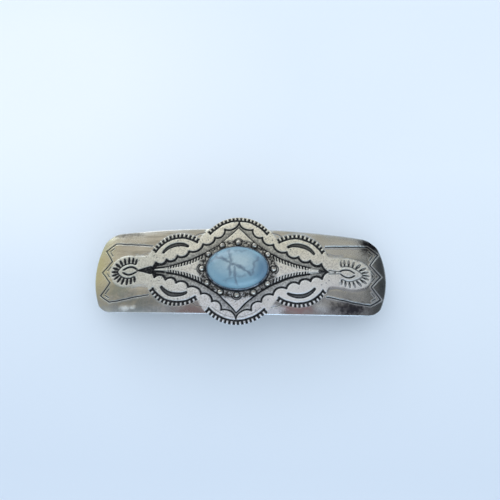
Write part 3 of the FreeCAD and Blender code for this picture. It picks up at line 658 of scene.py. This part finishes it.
def make_plate():
    """Struck plate: relief face, rounded rim and plain back, as one closed shell."""
    across, along = np.meshgrid(*(np.linspace(-1, 1, cells + 1) for cells in GRID), indexing="ij")
    x, y = plate_point(along, across)
    relief = struck_relief(x, y)

    def too_coarse(level):
        """Cells of the face that would miss some of the relief."""
        return (worst_miss(relief.height, level) > HEIGHT_MISS) | (worst_miss(relief.dark, level) > DARK_MISS)

    def border_of_face(level):
        """The face's split cells along the rim, so that the back meets it corner to corner."""
        cells = face_split[level].copy()
        cells[1:-1, 1:-1] = False
        return cells

    face_split = cells_to_split(too_coarse)
    face_cells, face_used = grid_faces(face_split)
    back_cells, back_used = grid_faces(cells_to_split(border_of_face))
    rim = rim_of(face_used)

    rounding = np.clip(BACK_ROUNDING - edge_distance(x, y), 0, BACK_ROUNDING)
    under = arch(x, ARCH_RADIUS - PLATE_THICKNESS) + BACK_ROUNDING
    under -= np.sqrt(BACK_ROUNDING ** 2 - rounding ** 2)
    corners = np.full((2, x.size), -1)
    corners[0, face_used.ravel()] = np.arange(face_used.sum())
    corners[1, back_used.ravel()] = np.arange(back_used.sum()) + face_used.sum()
    vertices = np.concatenate([
        np.stack((x, y, height), axis=-1)[used]
        for height, used in ((arch(x) + relief.height, face_used), (under, back_used))])
    faces = [[corners[0, number] for number in cell] for cell in face_cells]
    faces += [[corners[1, number] for number in reversed(cell)] for cell in back_cells]
    for here, after in zip(rim, rim[1:] + rim[:1]):
        faces.append((corners[1, here], corners[1, after], corners[0, after], corners[0, here]))
    plate = piece_from("struck_plate", vertices, faces)
    blank = np.zeros(back_used.sum())
    for name, values in (("dark", relief.dark), ("grain", relief.grain), ("soil", relief.soil)):
        add_vertex_field(plate, name, np.concatenate((np.clip(values[face_used], 0, 1), blank)))
    # Lighter band along the outline, rubbed wear and a painted edge highlight, stored for the material.
    rubbed_and_highlit_edge = filled(edge_distance(x, y) - RUBBED_AND_HIGHLIT_EDGE, RUBBED_AND_HIGHLIT_EDGE)
    add_vertex_field(plate, "rubbed_and_highlit_edge", np.concatenate((rubbed_and_highlit_edge[face_used], rubbed_and_highlit_edge[back_used])))
    return plate


def ring_faces(rings, segments, closed=False):
    """Quads between rings of vertices. closed joins the last ring to the first."""
    faces = []
    for ring in range(rings if closed else rings - 1):
        low, high = ring * segments, (ring + 1) % rings * segments
        for step in range(segments):
            after = (step + 1) % segments
            faces.append((low + step, low + after, high + after, high + step))
    return faces


def turns_of(segments):
    """Angles of a ring's vertices."""
    return np.linspace(0, math.tau, segments, endpoint=False)


def make_stone():
    """Polished oval cabochon with its matrix veins stored on its vertices."""
    rings, segments = 80, 300
    rise = np.linspace(0, math.pi / 2, rings + 1)[:-1, None]
    turn = turns_of(segments)
    out = np.cos(rise) ** STONE_FULLNESS
    up = np.sin(rise) ** STONE_FULLNESS
    x = STONE_OVAL[0] * out * np.cos(turn)
    y = STONE_OVAL[1] * out * np.sin(turn)
    z = STONE_BASE + STONE_HEIGHT * up + 0 * turn
    vertices = np.stack((x, y, z), axis=-1).reshape(-1, 3)
    top = len(vertices)
    vertices = np.concatenate((vertices, [(0, 0, STONE_BASE + STONE_HEIGHT)]))
    faces = ring_faces(rings, segments)
    last = top - segments
    faces += [(last + step, last + (step + 1) % segments, top) for step in range(segments)]
    faces.append(list(reversed(range(segments))))
    stone = piece_from("stone", vertices, faces)

    x, y = vertices[:, 0], vertices[:, 1]
    wander_x = x + 0.13 * waves(x, y, (1.7, 2.3, 3.9), 31)
    wander_y = y + 0.13 * waves(x, y, (1.9, 2.6, 4.3), 32)
    thickness = 1 + 0.5 * waves(x, y, (1.7, 2.9), 33)
    veins = np.zeros_like(x)
    for half_width, strength, points in VEINS:
        share = to_path(wander_x, wander_y, points) / (half_width * np.clip(thickness, 0.5, 1.5))
        veins = np.maximum(veins, strength * np.exp(-share ** 2))
    add_vertex_field(stone, "vein", veins)
    return stone


def make_bezel():
    """Thin cup wall whose lip is pressed over the edge of the stone."""
    segments = 220
    turn = turns_of(segments)
    dents = 0.02 * np.sin(7 * turn + 1) + 0.015 * np.sin(17 * turn) + 0.01 * np.sin(31 * turn)
    rows = []
    for out, height in CUP_SECTION:
        x = (STONE_OVAL[0] + out) * np.cos(turn)
        y = (STONE_OVAL[1] + out) * np.sin(turn)
        rows.append(np.stack((x, y, height + dents * (height > CUP_LIP_START)), axis=-1))
    faces = ring_faces(len(CUP_SECTION), segments, closed=True)
    return piece_from("bezel_cup", np.concatenate(rows), faces)


def make_beads():
    """Border beads, each a little different in size and flattened a little at the top."""
    rings, segments = 12, 26
    random = np.random.default_rng(5)
    rise = np.radians(np.linspace(-48, 84, rings))[:, None]
    turn = turns_of(segments)
    vertices, faces = [], []
    for bead_x, bead_y in bead_places():
        size = BEAD_RADIUS * random.uniform(0.93, 1.0, 3)
        tilt = random.uniform(0, math.tau)
        lump = 0.03 * np.sin(2 * turn + tilt) + 0.02 * np.sin(3 * turn + 2 * tilt)
        out = (1 + lump * np.cos(rise)) * np.cos(rise)
        x = bead_x + size[0] * out * np.cos(turn)
        y = bead_y + size[1] * out * np.sin(turn)
        z = arch(bead_x) + BEAD_RISE + size[2] * np.sin(rise) * 0.96 + 0 * turn
        first = len(vertices) * rings * segments
        vertices.append(np.stack((x, y, z), axis=-1).reshape(-1, 3))
        faces += [[first + number for number in face] for face in ring_faces(rings, segments)]
        faces.append([first + number for number in reversed(range(segments))])
        faces.append([first + (rings - 1) * segments + number for number in range(segments)])
    return piece_from("stone_beads", np.concatenate(vertices), faces)


def softened(node, name, radius):
    """A copy of a CAD piece with its sharp edges rounded by that radius, in mm."""
    mesh = bpy.data.meshes.new(name)
    shape = bmesh.new()
    shape.from_mesh(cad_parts[node].data)
    bmesh.ops.remove_doubles(shape, verts=shape.verts, dist=WELD_DISTANCE * MM)
    bmesh.ops.dissolve_limit(shape, angle_limit=FLAT_ANGLE, verts=shape.verts, edges=shape.edges)
    joined = [edge for edge in shape.edges if len(edge.link_faces) == 2]
    sharp = [edge for edge in joined if edge.calc_face_angle() > BEVEL_ANGLE]
    bmesh.ops.bevel(shape, geom=sharp, offset=radius * MM, segments=2, profile=0.5, affect="EDGES",
                    clamp_overlap=True)
    shape.to_mesh(mesh)
    shape.free()
    mesh.shade_smooth()
    mesh.set_sharp_from_angle(angle=CREASE_ANGLE)
    return linked(name, mesh)


# ---- materials ----

class Look:
    """A material's nodes, with short ways to add and join them."""

    def __init__(self, name):
        self.material = bpy.data.materials.new(name)
        self.material.use_nodes = True
        self.tree = self.material.node_tree
        self.tree.nodes.clear()
        self.position = self.add("TexCoord").outputs["Object"]

    def add(self, kind, inputs=None, **settings):
        """A node with its settings, its numbers, colours and links. Colours are linear and opaque."""
        node = self.tree.nodes.new(f"ShaderNode{kind}")
        for key, value in settings.items():
            setattr(node, key, value)
        for key, value in (inputs or {}).items():
            socket = node.inputs[key]
            if isinstance(value, bpy.types.NodeSocket):
                self.tree.links.new(value, socket)
            else:
                socket.default_value = (*value, 1.0) if socket.type == "RGBA" else value
        return node

    def field(self, name):
        """A number stored on the mesh's vertices."""
        return self.add("Attribute", attribute_name=name).outputs["Fac"]

    def vector(self, operation, first, second):
        """Arithmetic on two vectors."""
        return self.add("VectorMath", {0: first, 1: second}, operation=operation).outputs[0]

    def stretched(self, x, y, z):
        """Object position scaled along each axis."""
        return self.vector("MULTIPLY", self.position, (x, y, z))

    def noise(self, scale, detail, position=None, roughness=0.5):
        """Cloudy noise with that many features per mm."""
        position = position or self.position
        inputs = {"Vector": position, "Scale": scale / MM, "Detail": detail, "Roughness": roughness}
        return self.add("TexNoise", inputs).outputs["Fac"]

    def cells(self, scale):
        """Distance from scattered points, that many per mm."""
        return self.add("TexVoronoi", {"Vector": self.position, "Scale": scale / MM}).outputs["Distance"]

    def spot(self, x, y, half_length, half_width, ragged=0.0):
        """1 around a place, fading to 0 at an oval about it, in mm. ragged breaks up its outline."""
        away = self.vector("SUBTRACT", self.position, (x * MM, y * MM, 0))
        away = self.vector("MULTIPLY", away, (1 / (half_length * MM), 1 / (half_width * MM), 0))
        away = self.add("VectorMath", {0: away}, operation="LENGTH").outputs["Value"]
        if ragged:
            away = self.sum((self.noise(0.9, 3, roughness=0.65), ragged), (away, 1.0))
        return self.span(away, 0.3 + ragged / 2, 1.0 + ragged / 2, 1.0, 0.0)

    def along(self, axis, low, high):
        """0 to 1 between two places, in mm, along X or Y."""
        value = self.add("SeparateXYZ", {0: self.position}).outputs[axis]
        return self.span(value, low * MM, high * MM)

    def span(self, value, low, high, new_low=0.0, new_high=1.0):
        """value from low..high moved to new_low..new_high, and held there beyond."""
        inputs = {"Value": value, "From Min": low, "From Max": high, "To Min": new_low, "To Max": new_high}
        return self.add("MapRange", inputs).outputs["Result"]

    def math(self, operation, first, second):
        """Arithmetic on two numbers, held between 0 and 1."""
        return self.add("Math", {0: first, 1: second}, operation=operation, use_clamp=True).outputs[0]

    def times(self, first, second):
        """Product of two numbers, held between 0 and 1."""
        return self.math("MULTIPLY", first, second)

    def sum(self, *terms):
        """Sum of (number, weight) pairs."""
        total = 0.0
        for value, weight in terms:
            total = self.add("Math", {0: value, 1: weight, 2: total}, operation="MULTIPLY_ADD").outputs[0]
        return total

    def mix(self, share, first, second):
        """Colour between two colours."""
        return self.add("Mix", {0: share, 6: first, 7: second}, data_type="RGBA").outputs[2]

    def bumps(self, height, depth):
        """Surface unevenness from a height of 0 to 1 that stands for depth, in mm."""
        inputs = {"Height": height, "Distance": depth * MM, "Strength": 1.0}
        return self.add("Bump", inputs).outputs["Normal"]

    def done(self, **inputs):
        """Joins the shader to the output; keys are the shader's inputs with _ for spaces."""
        named = {key.replace("_", " "): value for key, value in inputs.items()}
        shader = self.add("BsdfPrincipled", named)
        self.add("OutputMaterial", {"Surface": shader.outputs["BSDF"]})
        return self.material


# Painted reflections and painted highlights on the bar, darker and lighter places: centre and half sizes in
# mm, colour, and strength.
BAR_PAINTED_REFLECTIONS = [
    ((-12, -12.6), (7.5, 2.6), (0.34, 0.24, 0.22), 0.8),
    ((17.4, -11.8), (6.2, 2.6), (0.42, 0.27, 0.27), 0.85),
    ((32.5, -10.6), (7.0, 2.8), (0.05, 0.05, 0.06), 1.25),
    ((40.0, 9.0), (4.0, 4.0), (0.03, 0.03, 0.035), 1.3),
    ((-36, 12.2), (8.0, 1.3), (0.12, 0.11, 0.10), 0.9),
    ((-30, -10.5), (10.0, 4.5), (0.22, 0.24, 0.24), 0.8),
    ((-36, -5.0), (5.0, 3.4), (0.26, 0.29, 0.26), 0.75),
    ((10.8, -12.3), (3.8, 2.2), (0.84, 0.89, 0.94), 1.1),
    ((-33.2, -11.4), (2.2, 1.2), (0.85, 0.88, 0.88), 0.8),
    ((-30.8, -11.2), (1.3, 0.9), (0.82, 0.85, 0.85), 0.7),
    ((24.4, -11.0), (2.8, 2.0), (0.62, 0.66, 0.68), 0.8),
]


def struck_metal():
    """Darkened white metal: pebbled ornament, smoother bar with dark flecks, black in its grooves; both with
    painted reflections, highlights and shade.
    """
    look = Look("struck_metal")
    grain, dark, soil, rubbed_and_highlit_edge = (look.field(name) for name in ("grain", "dark", "soil", "rubbed_and_highlit_edge"))
    cloud = look.noise(0.09, 3)
    patch = look.noise(0.35, 4, roughness=0.6)
    pebble = look.noise(2.2, 2, roughness=0.6)
    fleck = look.noise(1.5, 3, roughness=0.7)
    pits = look.span(look.cells(0.6), 0.04, 0.2, 1.0, 0.0)
    scratch = look.noise(1.0, 3, look.stretched(0.35, 3.5, 1.0))

    # Darker streaks along the bar: painted streaky reflections.
    reflection_streak = look.noise(0.22, 3, look.stretched(0.3, 2.2, 1.0), roughness=0.6)
    bar = look.mix(look.span(cloud, 0.35, 0.65), (0.56, 0.53, 0.46), (0.68, 0.66, 0.60))
    bar = look.mix(look.span(reflection_streak, 0.46, 0.62, 0.0, 0.55), bar, (0.36, 0.35, 0.31))
    # Painted reflections of the room: bluish grey over the catch half, olive yellow at the hinge end, near
    # black at the catch end, and darker towards the front edge.
    catch_half_reflection = look.times(look.along("X", 6, 26), 0.5)
    bar = look.mix(catch_half_reflection, bar, (0.46, 0.50, 0.53))
    hinge_end = look.times(look.along("X", -36, -43.5), look.span(cloud, 0.3, 0.6, 0.6, 1.0))
    bar = look.mix(hinge_end, bar, (0.60, 0.56, 0.34))
    catch_end = look.times(look.along("X", 37, 43), look.span(patch, 0.3, 0.6, 0.5, 1.0))
    bar = look.mix(catch_end, bar, (0.13, 0.14, 0.145))
    front = look.times(look.along("Y", -2, -9), look.span(patch, 0.3, 0.6, 0.4, 0.8))
    bar = look.mix(front, bar, (0.30, 0.31, 0.32))
    # Each spot paints a reflection or a highlight into the bar's colour.
    for centre, half_size, tint, share in BAR_PAINTED_REFLECTIONS:
        spot = look.spot(*centre, *half_size, ragged=1.3)
        spot = look.times(spot, look.span(patch, 0.3, 0.55, 0.6 * share, share))
        bar = look.mix(spot, bar, tint)
    bar = look.mix(look.span(fleck, 0.62, 0.8, 0.0, 0.5), bar, (0.2, 0.19, 0.18))
    # The bar lighter along its outline: rubbed wear and a painted highlight of the edge.
    rubbed_and_highlit_rim = look.times(rubbed_and_highlit_edge, look.span(patch, 0.3, 0.6, 0.4, 0.95))
    bar = look.mix(rubbed_and_highlit_rim, bar, (0.86, 0.88, 0.9))

    # Ornament cooler in front and warmer behind: a painted tint of the room's reflections.
    cool_front_warm_rear_reflection = look.along("Y", -9, 7)
    ornament = look.mix(cool_front_warm_rear_reflection, (0.90, 0.91, 0.95), (0.98, 0.93, 0.78))
    ornament = look.mix(look.span(patch, 0.48, 0.74, 0.0, 0.4), ornament, (0.68, 0.65, 0.55))
    # Ornament darker and duller towards the hinge end: painted shade.
    hinge_side_shade = look.times(look.along("X", -6, -32), 0.85)
    ornament = look.mix(hinge_side_shade, ornament, (0.62, 0.61, 0.53))
    ornament = look.mix(look.span(pebble, 0.35, 0.58, 0.4, 0.0), ornament, (0.26, 0.24, 0.2))
    # Ornament lighter and whiter in front of the catch half: a painted highlight.
    front_catch_highlight = look.times(look.along("X", 2, 14), look.along("Y", 1, -6))
    ornament = look.mix(look.times(front_catch_highlight, 0.6), ornament, (1.0, 1.0, 1.0))
    clean = look.mix(grain, bar, ornament)
    brown = look.times(soil, look.span(fleck, 0.34, 0.55, 0.15, 1.0))
    clean = look.mix(brown, clean, (0.06, 0.05, 0.04))

    speck = look.times(look.times(pits, grain), 0.7)
    worn = look.times(dark, look.span(pebble, 0.25, 0.5, 0.85, 1.0))
    soot = look.math("MAXIMUM", worn, speck)
    colour = look.mix(soot, clean, (0.008, 0.008, 0.01))
    gloss = look.span(patch, 0.3, 0.7, 0.17, 0.3)
    gloss = look.sum((grain, 0.24), (brown, 0.2), (gloss, 1.0))
    roughness = look.sum((soot, 0.25), (gloss, 1.0))
    pebbled = look.times(pebble, grain)
    height = look.sum((pebbled, 1.4), (scratch, 0.1), (speck, -0.8), (fleck, 0.25))
    metallic = look.span(look.math("MAXIMUM", soot, brown), 0.0, 1.0, 1.0, 0.3)
    return look.done(Base_Color=colour, Metallic=metallic, Roughness=roughness, Specular_IOR_Level=0.25,
                     Normal=look.bumps(height, 0.05))


def veined_stone():
    """Polished pale-blue stone with dark matrix veins and a chalky core."""
    look = Look("veined_stone")
    vein = look.field("vein")
    cloud = look.noise(0.22, 4, roughness=0.6)
    mottle = look.noise(1.4, 4, roughness=0.65)
    body = look.mix(look.span(cloud, 0.35, 0.65), (0.15, 0.29, 0.37), (0.19, 0.33, 0.40))
    chalk = look.times(look.spot(0.2, 0.6, 7.8, 5.2), look.span(cloud, 0.3, 0.6, 0.7, 1.0))
    body = look.mix(chalk, body, (0.42, 0.52, 0.54))
    # Lighter band along the stone's rear edge: a painted highlight.
    rim = look.math("SUBTRACT", look.along("Y", -3, 3), look.spot(0.0, -0.1, 8.9, 6.4))
    body = look.mix(look.span(rim, 0.72, 0.95, 0.0, 0.8), body, (0.30, 0.56, 0.68))
    # Darker towards the stone's catch end: painted shade.
    body = look.mix(look.spot(9.0, -1.0, 5.0, 7.0), body, (0.10, 0.20, 0.29))
    body = look.mix(look.span(mottle, 0.45, 0.75, 0.0, 0.35), body, (0.15, 0.25, 0.32))
    broken = look.times(vein, look.span(mottle, 0.25, 0.6, 0.62, 0.92))
    colour = look.mix(broken, body, (0.08, 0.13, 0.18))
    return look.done(
        Base_Color=colour, Roughness=look.span(mottle, 0.3, 0.7, 0.26, 0.36), IOR=1.56,
        Subsurface_Weight=0.12, Subsurface_Scale=0.001, Subsurface_Radius=(0.5, 0.8, 1.0),
        Coat_Weight=0.5, Coat_Roughness=0.1, Normal=look.bumps(mottle, 0.004))


def tarnished_metal(name, clean, stain, stain_share, roughness):
    """Cast metal with clouds of tarnish and small pits."""
    look = Look(name)
    patch = look.noise(0.8, 4, roughness=0.65)
    fine = look.noise(3.2, 3, roughness=0.6)
    amount = look.span(patch, 0.62 - stain_share * 0.4, 0.78 - stain_share * 0.2)
    colour = look.mix(amount, clean, stain)
    colour = look.mix(look.span(fine, 0.55, 0.8, 0.0, 0.35), colour, stain)
    gloss = look.span(fine, 0.3, 0.7, roughness - 0.06, roughness + 0.08)
    gloss = look.sum((amount, 0.14), (gloss, 1.0))
    return look.done(Base_Color=colour, Metallic=1.0, Roughness=gloss, Normal=look.bumps(fine, 0.02))


ALONG_BAR = (0.25, 4.0, 4.0)
UPRIGHT = (4.0, 4.0, 0.25)


def rolled_steel(name, tint, roughness, marks):
    """Nickel-plated steel strip with fine rolling marks and worn spots."""
    look = Look(name)
    lines = look.noise(1.3, 4, look.stretched(*marks), roughness=0.6)
    cloud = look.noise(0.16, 3)
    worn = look.noise(0.7, 4, roughness=0.6)
    dull = tuple(0.72 * share for share in tint)
    colour = look.mix(look.span(lines, 0.3, 0.7), dull, tint)
    colour = look.mix(look.span(worn, 0.58, 0.8, 0.0, 0.5), colour, (0.22, 0.20, 0.18))
    gloss = look.span(lines, 0.3, 0.7, roughness - 0.07, roughness + 0.08)
    gloss = look.sum((look.span(cloud, 0.4, 0.7), 0.12), (gloss, 1.0))
    return look.done(Base_Color=colour, Metallic=1.0, Roughness=gloss, Normal=look.bumps(lines, 0.012))


# ---- put together ----

def add_piece(piece, material, node, body):
    """Gives a piece its material and its body, and hides the CAD node that it replaces."""
    piece.data.materials.clear()
    piece.data.materials.append(material)
    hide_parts(node)
    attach(piece, body)


# Steel strips: colour, roughness, and which way the rolling marks run.
STEELS = {
    "clip_steel": ((0.62, 0.62, 0.60), 0.28, ALONG_BAR),
    "arm_steel": ((0.66, 0.66, 0.64), 0.26, ALONG_BAR),
    "spring_steel": ((0.5, 0.5, 0.5), 0.22, ALONG_BAR),
    "prong_steel": ((0.6, 0.6, 0.58), 0.27, UPRIGHT),
}
# Cast and turned metals: clean and stained colour, stained share, and roughness.
TARNISHED = {
    # The cup's dark colour is partly oxide and partly painted shade in the gap round the stone; its lighter
    # bluish colour is a painted glint.
    "cup_oxide_and_shade": ((0.26, 0.30, 0.36), (0.03, 0.04, 0.055), 0.6, 0.3),
    "bead_metal": ((0.72, 0.68, 0.60), (0.12, 0.10, 0.09), 0.35, 0.3),
    "pin_steel": ((0.6, 0.6, 0.58), (0.2, 0.18, 0.16), 0.2, 0.3),
    "stud_metal": ((0.58, 0.55, 0.5), (0.16, 0.14, 0.12), 0.4, 0.38),
}
metals = {name: rolled_steel(name, *numbers) for name, numbers in STEELS.items()}
metals |= {name: tarnished_metal(name, *numbers) for name, numbers in TARNISHED.items()}

add_piece(make_plate(), struck_metal(), "front_plate", "base")
add_piece(make_stone(), veined_stone(), "cabochon", "base")
add_piece(make_bezel(), metals["cup_oxide_and_shade"], "stone_bezel", "base")
add_piece(make_beads(), metals["bead_metal"], "border_beads", "base")

# The clip's pieces: CAD node, name, rounding of the edges in mm, body, and slot.
CLIP = [
    ("clip_base", "clip_strip", 0.12, "base", "clip_steel"),
    ("clip_arm", "swing_arm", 0.14, "arm", "arm_steel"),
    ("bow_spring", "hair_spring", 0.07, "spring", "spring_steel"),
    ("catch_prong_front", "front_prong", 0.06, "prong_front", "prong_steel"),
    ("catch_prong_rear", "rear_prong", 0.06, "prong_rear", "prong_steel"),
    ("hinge_pin", "pin", 0.05, "base", "pin_steel"),
    ("stud_hinge_end", "stud_hinge", 0.05, "base", "stud_metal"),
    ("stud_catch_end", "stud_catch", 0.05, "base", "stud_metal"),
]
for node, name, rounding, body, slot in CLIP:
    add_piece(softened(node, name, rounding), metals[slot], node, body)


# ---- floor, light and camera ----

# What the lights face; this part is in metres.
BARRETTE_MIDDLE = (0, 0, 0.012)
FLOOR_REACH = 3.0


def level_card(name, front_left, rear_right, height, material):
    """Level rectangle between two corners."""
    (left, front), (right, rear) = front_left, rear_right
    outline = [(left, front, height), (right, front, height), (right, rear, height), (left, rear, height)]
    mesh = bpy.data.meshes.new(name)
    mesh.from_pydata(outline, [], [(0, 1, 2, 3)])
    mesh.materials.append(material)
    return linked(name, mesh)


def make_floor():
    """Plain pale tabletop with painted light: darker in front, and a painted pool of near-white light behind
    the hinge end.
    """
    look = Look("pale_table")
    cloud = look.noise(0.006, 3)
    near = look.mix(cloud, (0.71, 0.76, 0.83), (0.78, 0.82, 0.88))
    far = look.mix(cloud, (0.86, 0.89, 0.93), (0.95, 0.96, 0.965))
    # Painted light: the tabletop darkens towards the front, and a near-white pool of light lies behind the
    # hinge end.
    colour = look.mix(look.along("Y", -55, 40), near, far)
    colour = look.mix(look.spot(-80, 80, 100, 80), colour, (0.99, 0.98, 0.97))
    material = look.done(Base_Color=colour, Roughness=0.7)
    floor = level_card("floor", (-FLOOR_REACH, -FLOOR_REACH), (FLOOR_REACH, FLOOR_REACH), 0, material)


def add_area_light(name, place, size, radiance, colour):
    """Soft light that faces the barrette. radiance is what its face looks like, 1 being white."""
    data = bpy.data.lights.new(name, "AREA")
    data.shape = "RECTANGLE"
    data.size, data.size_y = size
    data.energy = radiance * math.pi * size[0] * size[1]
    data.color = colour
    light = linked(name, data)
    light.location = place
    light.rotation_euler = (Vector(BARRETTE_MIDDLE) - Vector(place)).to_track_quat("-Z", "Y").to_euler()


def add_mirrored_card(name, front_left, rear_right, height, colour):
    """Glowing level card over the barrette, no lamp, that stands in for a part of the room and shows only
    where the metal mirrors it: a painted reflection.
    """
    look = Look(name)
    glow = look.add("Emission", {"Color": colour, "Strength": 1.0})
    look.add("OutputMaterial", {"Surface": glow.outputs["Emission"]})
    card = level_card(name, front_left, rear_right, height, look.material)
    card.visible_camera = False
    card.visible_diffuse = False
    card.visible_shadow = False


def add_room_light():
    """Even pale-blue light from all around."""
    world = bpy.data.worlds.new("room")
    world.use_nodes = True
    background = world.node_tree.nodes["Background"]
    background.inputs["Color"].default_value = (0.74, 0.84, 0.95, 1.0)
    background.inputs["Strength"].default_value = 1.0
    bpy.context.scene.world = world


def add_camera():
    """The photograph's camera, from above and a little in front."""
    data = bpy.data.cameras.new("camera")
    data.lens = 36
    data.sensor_width = 36
    data.clip_start = 0.01
    camera = linked("camera", data)
    camera.matrix_world = Matrix((
        (0.99886, -0.00837, 0.04696, 0.01051),
        (0.02427, 0.93672, -0.34930, -0.04615),
        (-0.04107, 0.35005, 0.93590, 0.15235),
        (0, 0, 0, 1),
    ))
    bpy.context.scene.camera = camera


make_floor()
add_area_light("window", (-0.55, 0.85, 0.35), (0.9, 0.6), 1.3, (0.93, 0.97, 1.0))
add_area_light("blue_sky", (0.25, -0.95, 0.3), (1.4, 0.5), 1.6, (0.50, 0.76, 1.0))
# Glowing cards that paint the room's reflections into the metal: grey in front, dark at the catch end, warm
# behind the hinge end.
add_mirrored_card("photographer_reflection_glow", (-0.22, -0.35), (0.30, 0.10), 0.35, (0.46, 0.47, 0.52))
add_mirrored_card("doorway_reflection_glow", (0.30, -0.35), (0.70, 0.40), 0.35, (0.13, 0.14, 0.15))
add_mirrored_card("ceiling_reflection_glow", (-0.95, 0.04), (0.30, 0.30), 0.36, (0.64, 0.61, 0.53))
add_room_light()
add_camera()
bpy.context.scene.view_settings.view_transform = "Standard"
